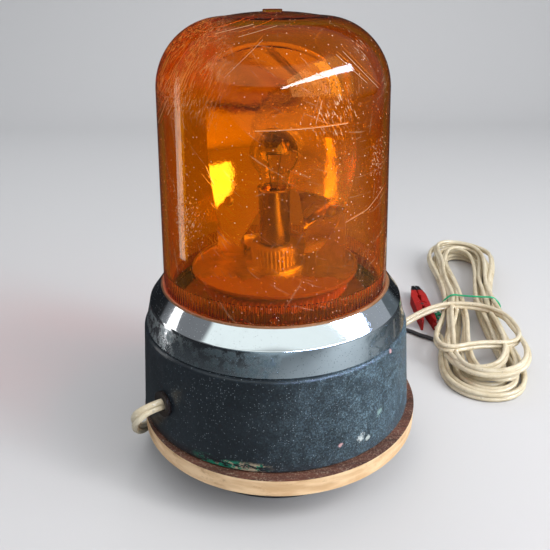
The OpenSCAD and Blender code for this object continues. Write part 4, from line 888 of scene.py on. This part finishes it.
class BEACON_OT_stage(bpy.types.Operator):
    """Sets the camera, the pale floor and backdrop, and the soft lights"""

    bl_idname = "beacon.stage"
    bl_label = "Stage"

    def execute(self, context):
        self.make_camera(context)
        self.make_floor()
        self.make_lights(context)
        self.make_world(context)
        return {"FINISHED"}

    def make_camera(self, context):
        tilt, roll = math.radians(CAMERA_TILT), math.radians(CAMERA_ROLL)
        back = Vector((0, -math.cos(tilt), math.sin(tilt)))
        right = Vector((1, 0, 0))
        up = Vector((0, math.sin(tilt), math.cos(tilt)))
        x_axis = right * math.cos(roll) + up * math.sin(roll)
        y_axis = up * math.cos(roll) - right * math.sin(roll)
        data = bpy.data.cameras.new("camera")
        data.sensor_width = SENSOR
        data.lens = FOCAL_PIXELS / PICTURE_PIXELS * SENSOR
        camera = bpy.data.objects.new("camera", data)
        turn = Matrix((x_axis, y_axis, back)).transposed().to_4x4()
        camera.matrix_world = Matrix.Translation(Vector(CAMERA_AT)) @ turn
        context.scene.collection.objects.link(camera)
        context.scene.camera = camera

    def make_floor(self):
        """A pale floor that curves up into a backdrop. Mirrors see it with a painted pool of light at the
        front right and painted shade round it, and through the lens it shows painted shade behind.
        """
        half, front, rear, top, curve = 2.5, -1.4, 1.3, 1.6, 0.35
        line = [(front, 0.0), *arc(rear - curve, curve, curve, -90, 0, 12), (rear, top)]
        bm = bmesh.new()
        sides = [[bm.verts.new((x, y, z - FLOOR_DROP)) for y, z in line] for x in (-half, half)]
        for i in range(len(line) - 1):
            bm.faces.new([sides[0][i], sides[1][i], sides[1][i + 1], sides[0][i + 1]])
        mat, n, place = new_material("pale_floor")
        path = n.add("ShaderNodeLightPath").outputs
        x, y, _ = n.xyz(place)
        # Painted light: the patch that mirrors see lit, at the front right. The rest of what they see is
        # painted shade.
        lit = n.times(n.ramp(y, 0.25, -0.25), n.ramp(x, -0.7, 0.3))
        lit = n.larger(lit, n.ramp(x, 1.0, 1.6))
        mirrored = n.mix(lit, (0.020, 0.022, 0.025), (0.23, 0.275, 0.30))
        tone = n.mix(path["Is Glossy Ray"], (0.60, 0.60, 0.61), mirrored)
        # Painted shade: seen through the lens, the floor is darker behind.
        seen_through = n.mix(n.ramp(y, 0.20, -0.10), (0.30, 0.30, 0.30), (0.62, 0.62, 0.62))
        tone = n.mix(path["Is Transmission Ray"], tone, seen_through)
        n.output(n.add("ShaderNodeBsdfDiffuse", {"Color": tone}).outputs[0])
        floor = finish_mesh("floor", bm, mat)

    def make_lights(self, context):
        for name, (spot, aim, size, power) in LIGHTS.items():
            data = bpy.data.lights.new(name, "AREA")
            data.shape = "RECTANGLE"
            data.size, data.size_y = size
            data.energy = power
            light = bpy.data.objects.new(name, data)
            light.location = spot
            light.visible_camera = False
            light.visible_diffuse = name != "strip"
            light.visible_glossy = name == "strip"
            light.visible_transmission = name not in ("back", "ceiling")
            light.rotation_mode = "QUATERNION"
            light.rotation_quaternion = (Vector(spot) - Vector(aim)).to_track_quat("Z", "Y")
            context.scene.collection.objects.link(light)

    def make_world(self, context):
        """Soft grey light, a room for what bright surfaces mirror, and a window for the reflector's patch."""
        world = bpy.data.worlds.new("studio")
        world.use_nodes = True
        world.node_tree.nodes.clear()
        n = Nodes(world.node_tree)
        toward = n.add("ShaderNodeTexCoord").outputs["Generated"]
        path = n.add("ShaderNodeLightPath").outputs
        mirrored = n.math("SUBTRACT", path["Is Glossy Ray"], path["Is Transmission Ray"], clamp=True)
        inside = n.times(path["Is Transmission Ray"], n.math("MINIMUM", path["Glossy Depth"], 1.0))
        window = n.times(inside, self.bowl_window(n, toward))
        plain = n.mix(window, (0.52, 0.535, 0.55), (5.2, 7.8, 80.0))
        strength = n.mix(mirrored, plain, self.mirrored_room(n, toward))
        sky = n.add("ShaderNodeBackground", {"Color": strength})
        n.add("ShaderNodeOutputWorld", {"Surface": sky.outputs[0]})
        context.scene.world = world

    def bowl_window(self, n, toward):
        """1 toward the small window that the reflector's left half mirrors as a yellow patch."""
        x, y, z = n.xyz(toward)
        near_side = n.scaled(z, 0.24, x)
        low_side = n.scaled(x, -0.8, z)
        window = n.times(n.ramp(near_side, 0.330, 0.345), n.ramp(low_side, 0.385, 0.360))
        return n.times(window, n.ramp(z, 0.09, 0.12), n.ramp(y, -0.5, -0.6))

    def mirrored_room(self, n, toward):
        """What bright surfaces mirror: a dim room, darkest behind, with a window and a tube lamp."""
        x, y, z = n.xyz(toward)
        side = n.ramp(n.math("ABSOLUTE", x), 0.5, 0.85)
        low = n.scaled(n.ramp(x, 0.0, 0.6), 0.18, z)
        above = n.larger(n.ramp(z, 0.36, 0.45), n.times(n.ramp(low, 0.10, 0.30), side))
        room = n.mix(above, (0.030, 0.032, 0.035), (0.20, 0.215, 0.23))
        ahead = n.times(n.ramp(y, 0.15, -0.4), n.ramp(x, -0.9, -0.25), n.ramp(z, 0.30, 0.14))
        room = n.mix(ahead, room, (0.30, 0.40, 0.46))
        right = n.times(n.ramp(x, 0.45, 0.75), n.ramp(z, -0.05, 0.10))
        room = n.mix(right, room, (0.36, 0.40, 0.44))
        window = n.times(n.ramp(z, 0.35, 0.39), n.ramp(z, 0.80, 0.76))
        window = n.times(window, n.ramp(x, -0.78, -0.73), n.ramp(y, 0.0, -0.10))
        room = n.mix(window, room, (0.98, 1.10, 1.10))
        from_end = n.dot(toward, (0.121, -0.932, 0.341))
        to_end = n.dot(toward, (0.869, 0.044, 0.493))
        across = n.dot(toward, (-0.488, 0.243, 0.838))
        half = n.scaled(n.ramp(to_end, 0.23, 1.0), 0.055, 0.028)
        off = n.math("ABSOLUTE", n.plus(across, 0.018))
        tube_lamp = n.ramp(n.math("DIVIDE", off, half), 1.0, 0.6)
        tube_lamp = n.times(tube_lamp, n.ramp(to_end, 0.22, 0.26), n.ramp(from_end, 0.22, 0.26))
        return n.mix(tube_lamp, room, (24.0, 31.0, 48.0))


def hank_point(u):
    """Centre of the hank's flex after u loops, in millimetres, as the solid has it."""
    deep = HANK_STEP * min(u, HANK_LOOPS - u)
    th = math.radians(HANK_START + 360 * u)
    sin, cos = math.sin(th), math.cos(th)
    edge = Vector((HANK_B * sin * (1 - HANK_WAIST * sin * sin), HANK_A * cos))
    along = Vector((HANK_B * cos * (1 - 3 * HANK_WAIST * sin * sin), -HANK_A * sin)).normalized()
    p = edge - deep * Vector((-along.y, along.x))
    drop = min(1.0, max(0.0, (u - HANK_LOOPS / 2 + DROP_LOOPS / 2) / DROP_LOOPS))
    turn = math.radians(HANK_TURN)
    x = HANK_AT[0] + p.x * math.cos(turn) - p.y * math.sin(turn)
    y = HANK_AT[1] + p.x * math.sin(turn) + p.y * math.cos(turn)
    return Vector((x, y, LAYER_Z + LAYER_STEP * (1 - drop)))


def by_crimp(clip, y):
    """A point y beyond a clip's handle, on the line of its crimp barrel, in millimetres."""
    at, turn = clip
    a = math.radians(turn)
    x, y = CRIMP_X, HANDLE_END_Y - y
    level = (at[0] + x * math.cos(a) - y * math.sin(a), at[1] + x * math.sin(a) + y * math.cos(a))
    return Vector((*level, CLIP_MID_Z))


class BEACON_OT_flex(bpy.types.Operator):
    """Makes the twin flex with its tied hank, and the two single leads at its end"""

    bl_idname = "beacon.flex"
    bl_label = "Flex and Leads"

    def execute(self, context):
        cream = vinyl_material("cream_flex", tuple(colours().flex), 0.34, 0.8)
        self.make_flex(cream, self.make_tie())
        end = hank_point(HANK_LOOPS)
        heading = (end - hank_point(HANK_LOOPS - 0.01)).normalized()
        up = Vector((0, 0, 1))
        # The red lead comes out of the flex's upper core and the black one out of its lower core
        red = [end + 1.6 * up + 0.1 * heading, end + 1.5 * up + 4.5 * heading, RED_BEND]
        red += [by_crimp(RED_CLIP, 12), by_crimp(RED_CLIP, 6), by_crimp(RED_CLIP, 0)]
        self.make_lead("lead_red", cream, "cream_flex", red, ["red_clip", "red_jaw"])
        black = [end - 1.6 * up + 0.1 * heading, end - 1.7 * up + 4.5 * heading, *BLACK_ROUTE]
        black += [by_crimp(BLACK_CLIP, 11) - 0.9 * up, by_crimp(BLACK_CLIP, 6), by_crimp(BLACK_CLIP, 0)]
        grey = plain_finish("grey_wire")
        self.make_lead("lead_black", grey, "grey_wire", black, ["black_clip", "black_jaw"])
        return {"FINISHED"}

    def make_flex(self, material, tie):
        """The run over the floor and the hank are one flex. The hank wanders, as a hand-wound one does."""
        run = smooth_route(FLEX_ROUTE, 4)
        steps = int(HANK_LOOPS * LOOP_STEPS)
        hank, leans = [], []
        for i in range(steps + 1):
            u = HANK_LOOPS * i / steps
            p = hank_point(u)
            # free is 0 at both ends and 1 between them, and top is 1 on the upper layer and 0 on the lower
            free = min(1.0, u * STRAY_SHARE, (HANK_LOOPS - u) * STRAY_SHARE)
            top = min(1.0, max(0.0, HANK_LOOPS / 2 - u))
            at = Vector((p.x * 0.02, p.y * 0.02, u * 0.9))
            wander = Vector((noise.noise(at), noise.noise(at + Vector((7.3, 1.9, 4.1))), 0))
            lift = abs(noise.noise(Vector((p.x * 0.015, p.y * 0.015, u * 1.7 + 5.0))))
            middle = Vector((*HANK_AT, p.z))
            fan_turn = free * math.radians(FAN + FAN_TOP * top) * math.sin(2.4 * u + 0.6)
            fan = Matrix.Rotation(fan_turn, 3, "Z")
            squeeze = SQUEEZE_TOP * top * free * (1.0 + math.sin(3.9 * u))
            p = middle + fan @ (p - middle) * (1.0 - squeeze)
            p += wander * free * (WANDER + WANDER_TOP * top)
            p.z += (lift * LIFT_TOP + RISE_TOP * (HANK_LOOPS / 2 - u)) * top * free
            hank.append(p)
            leans.append(LEAN_TOP * top * free)
        centres = [p * MM for p in run[:-1] + hank[1:]]
        count, first = len(centres), len(run)
        rolls = [0.0] * count
        for i in range(first, count):
            share = min(1.0, (i - first) / ROLL_STEPS, (count - i) / ROLL_STEPS)
            rolls[i] = share * ROLL * noise.noise(Vector((i * 0.03, 3.3, 0.0))) + leans[i - first + 1]
        piece = tube("flex", centres, twin_section(FLEX_W, FLEX_T), material, rolls)
        settle(piece, "base", "cream_flex", "cord_run", "cord_hank")

    def make_tie(self):
        """Green wire bent over the waist of the hank, with its ends twisted at the left."""
        box_low, box_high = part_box("hank_tie")
        middle = (box_low + box_high) / 2
        turn = math.radians(HANK_TURN)
        across = Vector((math.cos(turn), math.sin(turn), 0))
        half = ((box_high - box_low).x / math.cos(turn)) / 2 - TIE_INSET
        base = Vector((middle.x, middle.y, 0))
        pts = []
        for i in range(TWIST_POINTS, 0, -1):
            x = TWIST_X + TWIST_R * math.cos(1.9 * i)
            y = TWIST_STEP * i + TWIST_R * math.sin(1.3 * i)
            z = TWIST_Z + TWIST_H * math.sin(1.9 * i)
            pts.append(base - across * half + Vector((x, y, z)))
        loop = TIE_LEG + [(share, box_high.z + TIE_RISE) for share in TIE_TOP]
        loop += [(-share, z) for share, z in reversed(TIE_LEG)]
        pts += [base + across * half * share + Vector((0, 0, z)) for share, z in loop]
        section = round_section(sizes().tie_r)
        tie = tube("hank_tie_wire", smooth_route(pts, 5), section, plain_finish("green_tie"))
        settle(tie, "base", "green_tie", "hank_tie")
        return tie

    def make_lead(self, name, material, slot, points, clip):
        centres = [p * MM for p in smooth_route(points, 5)]
        piece = tube(name + "_shown", centres, round_section(LEAD_R * MM), material)
        settle(piece, "base", slot, name)


class BEACON_OT_cover(bpy.types.Operator):
    """Makes the amber lens with its ribs, the seal and the chrome ring, which lift off together"""

    bl_idname = "beacon.cover"
    bl_label = "Lens and Ring"

    def execute(self, context):
        amber = tuple(colours().lens)
        self.make_lens(amber_lens_material("amber_lens", amber))
        self.make_ribs(context, amber_lens_material("amber_ribs", tuple(c ** 0.25 for c in amber)))
        self.make_ring()
        dress_plain(("pale_seal", "lens_seal"))
        return {"FINISHED"}

    def lens_profile(self):
        """The wall's outline in millimetres: up the outside from the flange, and down the inside."""
        lens_r, top = sizes().lens_r / MM, RING_Z + sizes().lens_h / MM
        crown_z = top - LENS_CROWN
        corner_z = crown_z - LENS_CORNER_R
        crown_r = LENS_TOP_R - LENS_CORNER_R
        crown = [(crown_r * i / 8, crown_z + LENS_CROWN * (1 - (i / 8) ** 2)) for i in range(8)]
        foot, corner = (lens_r, RING_Z), (LENS_TOP_R, corner_z)
        flange_top = FLANGE_Z + FLANGE_T
        outer = [(FLANGE_R, FLANGE_Z), (FLANGE_R, flange_top), (lens_r, flange_top), foot]
        outer += [between(foot, corner, i / 8) for i in range(1, 8)]
        outer += arc(crown_r, corner_z, LENS_CORNER_R, 0, 89, 28) + crown[::-1]
        inner = [(r, z - LENS_WALL) for r, z in crown]
        inner += arc(crown_r, corner_z, LENS_CORNER_R - LENS_WALL, 89, 0, 28)
        wall = [between(corner, foot, i / 8) for i in range(1, 9)]
        inner += [(r - LENS_WALL, z) for r, z in wall]
        return outer + inner + [(lens_r - LENS_WALL, FLANGE_Z)]

    def make_lens(self, amber):
        lens = turned("lens_dome", self.lens_profile(), amber, angle=40.0)
        settle(lens, "cover", "amber_lens", "lens")
        top = RING_Z + sizes().lens_h / MM
        edge_z = top + NUB_H - NUB_EDGE
        outline = [(0.0, top - 0.6), (NUB_R, top - 0.6), (NUB_R, edge_z)]
        outline += arc(NUB_R - NUB_EDGE, edge_z, NUB_EDGE, 0, 90, 4)
        outline += [(3.4, top + NUB_H), (3.0, top + 0.55), (0.0, top + NUB_DISH)]
        nub = turned("lens_nub", outline, amber, steps=48)
        settle(nub, "cover", "amber_lens")
        pip = turned("lens_pip", PIP_OUTLINE, amber, steps=32)
        forward = Matrix.Rotation(math.pi / 2, 4, "X")
        pip.data.transform(Matrix.Translation((0, OVERLAP - sizes().lens_r, PIP_Z * MM)) @ forward)
        settle(pip, "cover", "amber_lens")

    def make_ribs(self, context, amber):
        """Upright half-round ribs inside the foot of the lens, spread round it by Geometry Nodes."""
        values = {
            "Count": ("NodeSocketInt", sizes().rib_count),
            "Radius": ("NodeSocketFloat", sizes().lens_r - LENS_WALL * MM),
            "Level": ("NodeSocketFloat", RING_Z * MM + sizes().rib_h / 2 + RIB_LIFT),
            "Height": ("NodeSocketFloat", sizes().rib_h),
            "Rib Radius": ("NodeSocketFloat", sizes().rib_r),
            "Material": ("NodeSocketMaterial", amber),
        }
        tree = bpy.data.node_groups.new("Lens Ribs", "GeometryNodeTree")
        tree.interface.new_socket("Geometry", in_out="OUTPUT", socket_type="NodeSocketGeometry")
        inputs = {}
        for label, (kind, _) in values.items():
            socket = tree.interface.new_socket(label, in_out="INPUT", socket_type=kind)
            inputs[label] = socket.identifier
        n = Nodes(tree)
        given = n.add("NodeGroupInput").outputs
        circle = n.add("GeometryNodeMeshCircle", {"Vertices": given["Count"], "Radius": given["Radius"]})
        lift = n.add("ShaderNodeCombineXYZ", {"Z": given["Level"]})
        raised = n.add("GeometryNodeTransform", {"Geometry": circle.outputs[0],
                                                 "Translation": lift.outputs[0]})
        rib = n.add("GeometryNodeMeshCylinder", {"Vertices": 8, "Side Segments": 1,
                                                "Radius": given["Rib Radius"], "Depth": given["Height"]})
        spread = n.add("GeometryNodeInstanceOnPoints", {"Points": raised.outputs[0],
                                                        "Instance": rib.outputs["Mesh"]})
        real = n.add("GeometryNodeRealizeInstances", {"Geometry": spread.outputs[0]})
        painted = n.add("GeometryNodeSetMaterial", {"Geometry": real.outputs[0],
                                                    "Material": given["Material"]})
        n.add("NodeGroupOutput", {"Geometry": painted.outputs[0]})
        carrier = bpy.data.objects.new("lens_ribs_tree", bpy.data.meshes.new("lens_ribs_tree"))
        context.scene.collection.objects.link(carrier)
        modifier = carrier.modifiers.new("Lens Ribs", "NODES")
        modifier.node_group = tree
        for label, (_, value) in values.items():
            modifier[inputs[label]] = value
        context.view_layer.update()
        shown = carrier.evaluated_get(context.evaluated_depsgraph_get())
        mesh = bpy.data.meshes.new_from_object(shown)
        bpy.data.objects.remove(carrier)
        shade_smooth(mesh, 60.0)
        ribs = bpy.data.objects.new("lens_ribs", mesh)
        context.scene.collection.objects.link(ribs)
        settle(ribs, "cover", "amber_lens")

    def make_ring(self):
        path = [(RING_LOW_R, RING_LOW_Z)]
        path += arc(RING_R - RING_ROUND, RING_Z - RING_SLOPE_H - RING_ROUND, RING_ROUND, 12, 48, 8)
        path.append((RING_HOLE_R, RING_Z))
        plate = chrome_material("chrome_plate", (0.78, 0.79, 0.81), 0.05, worn=True)
        ring = turned("chrome_ring_shown", sheet(path, RING_T), plate)
        settle(ring, "cover", "chrome_plate", "chrome_ring")


class BEACON_OT_base(bpy.types.Operator):
    """Dresses the housing, its grommet, the wood disc and the magnet foot"""

    bl_idname = "beacon.base"
    bl_label = "Housing and Foot"

    def execute(self, context):
        dress("housing", enamel_material(tuple(colours().housing)), "housing_enamel")
        dress_plain(("brown_rubber", "cord_grommet"))
        dress("wood_disc", wood_material(tuple(colours().wood)), "plywood")
        dress_plain(("foot_paint", "magnet_pot"), ("black_rubber", "foot_pad", "gasket"))
        paint_plain(
            ("ferrite", "magnet_ring"), ("brown_board", "terminal_block"), ("red_wire", "motor_wires"),
            ("grey_wire", "lamp_wire"), ("zinc_steel", "foot_bolt", "foot_washer", "foot_nut"),
            ("zinc_steel", "base_screws", "base_nuts", "chassis_plate", "chassis_screws"),
        )
        paint(bpy.data.materials["cream_flex_finish"], "supply_tail")
        return {"FINISHED"}


class BEACON_OT_lamp(bpy.types.Operator):
    """Dresses the bulb, its holder and the contacts"""

    bl_idname = "beacon.lamp"
    bl_label = "Bulb and Holder"

    def execute(self, context):
        glass = clear_glass_material()
        dress("bulb_glass", glass, "clear_glass")
        dress("bulb_stem", glass, "clear_glass")
        dress("bulb_cap", plain_finish("brass"), "brass_contact")
        dress("bulb_holder", chrome_material("nickel", (0.70, 0.68, 0.64), 0.16), "nickel")
        dress_plain(("bright_steel", "spindle"))
        paint_plain(
            ("black_plastic", "cap_insulator"), ("solder", "bulb_contact"), ("tungsten", "bulb_filament"),
            ("brown_board", "holder_insulator"), ("brass", "contact_plunger"), ("bronze", "thrust_washer"),
            ("zinc_steel", "contact_spring", "spindle_nut", "spindle_clip"),
        )
        return {"FINISHED"}


class BEACON_OT_rotor(bpy.types.Operator):
    """Dresses the turntable, hub, brackets, reflector and the gear drive"""

    bl_idname = "beacon.rotor"
    bl_label = "Reflector and Drive"

    def execute(self, context):
        dress("turntable", worn_aluminium_material(), "bare_aluminium")
        dress_plain(("bare_aluminium", "hub", "bracket_left", "bracket_right"))
        dress("reflector", mirror_material(), "mirror_plate")
        dress_plain(("zinc_steel", "bracket_screws", "reflector_rivets"))
        paint_plain(
            ("bronze", "bush"), ("ivory_nylon", "drive_gear"), ("bright_steel", "motor_can", "motor_shaft"),
            ("black_plastic", "motor_endcap"), ("zinc_steel", "motor_screws"), ("brass", "pinion"),
        )
        return {"FINISHED"}


class BEACON_OT_clips(bpy.types.Operator):
    """Dresses the two battery clips"""

    bl_idname = "beacon.clips"
    bl_label = "Battery Clips"

    def execute(self, context):
        paint(clip_material("red_sleeve", tuple(colours().clip), *RED_CLIP), "red_clip", "red_jaw")
        paint(clip_material("black_sleeve", (0.02, 0.02, 0.02), *BLACK_CLIP), "black_clip", "black_jaw")
        paint_plain(("zinc_steel", "clip_pins", "clip_springs"))
        return {"FINISHED"}


class BEACON_PT_panel(bpy.types.Panel):
    """Lists the beacon's settings and steps"""

    bl_label = "Beacon"
    bl_idname = "BEACON_PT_panel"
    bl_space_type = "VIEW_3D"
    bl_region_type = "UI"
    bl_category = "Beacon"

    def draw(self, context):
        for group in (context.scene.beacon_sizes, context.scene.beacon_colours):
            for key in group.bl_rna.properties.keys():
                if key not in ("rna_type", "name"):
                    self.layout.prop(group, key)
        for step in STEPS:
            self.layout.operator("beacon." + step)


STEPS = ("stage", "flex", "cover", "base", "lamp", "rotor", "clips")
CLASSES = (BeaconSizes, BeaconColours, BEACON_OT_stage, BEACON_OT_flex, BEACON_OT_cover, BEACON_OT_base,
           BEACON_OT_lamp, BEACON_OT_rotor, BEACON_OT_clips, BEACON_PT_panel)


def register():
    for cls in CLASSES:
        bpy.utils.register_class(cls)
    bpy.types.Scene.beacon_sizes = PointerProperty(type=BeaconSizes)
    bpy.types.Scene.beacon_colours = PointerProperty(type=BeaconColours)


def unregister():
    del bpy.types.Scene.beacon_colours
    del bpy.types.Scene.beacon_sizes
    for cls in reversed(CLASSES):
        bpy.utils.unregister_class(cls)


def main():
    """Runs every step in order."""
    register()
    for scene_object in [o for o in bpy.data.objects if o.type in ("CAMERA", "LIGHT") or o.name == "Cube"]:
        bpy.data.objects.remove(scene_object)
    bpy.context.scene.view_settings.view_transform = "Standard"
    make_specks_group()
    make_scuffs_group()
    make_grime_group()
    make_wood_group()
    for step in STEPS:
        getattr(bpy.ops.beacon, step)()


if __name__ == "__main__":
    main()
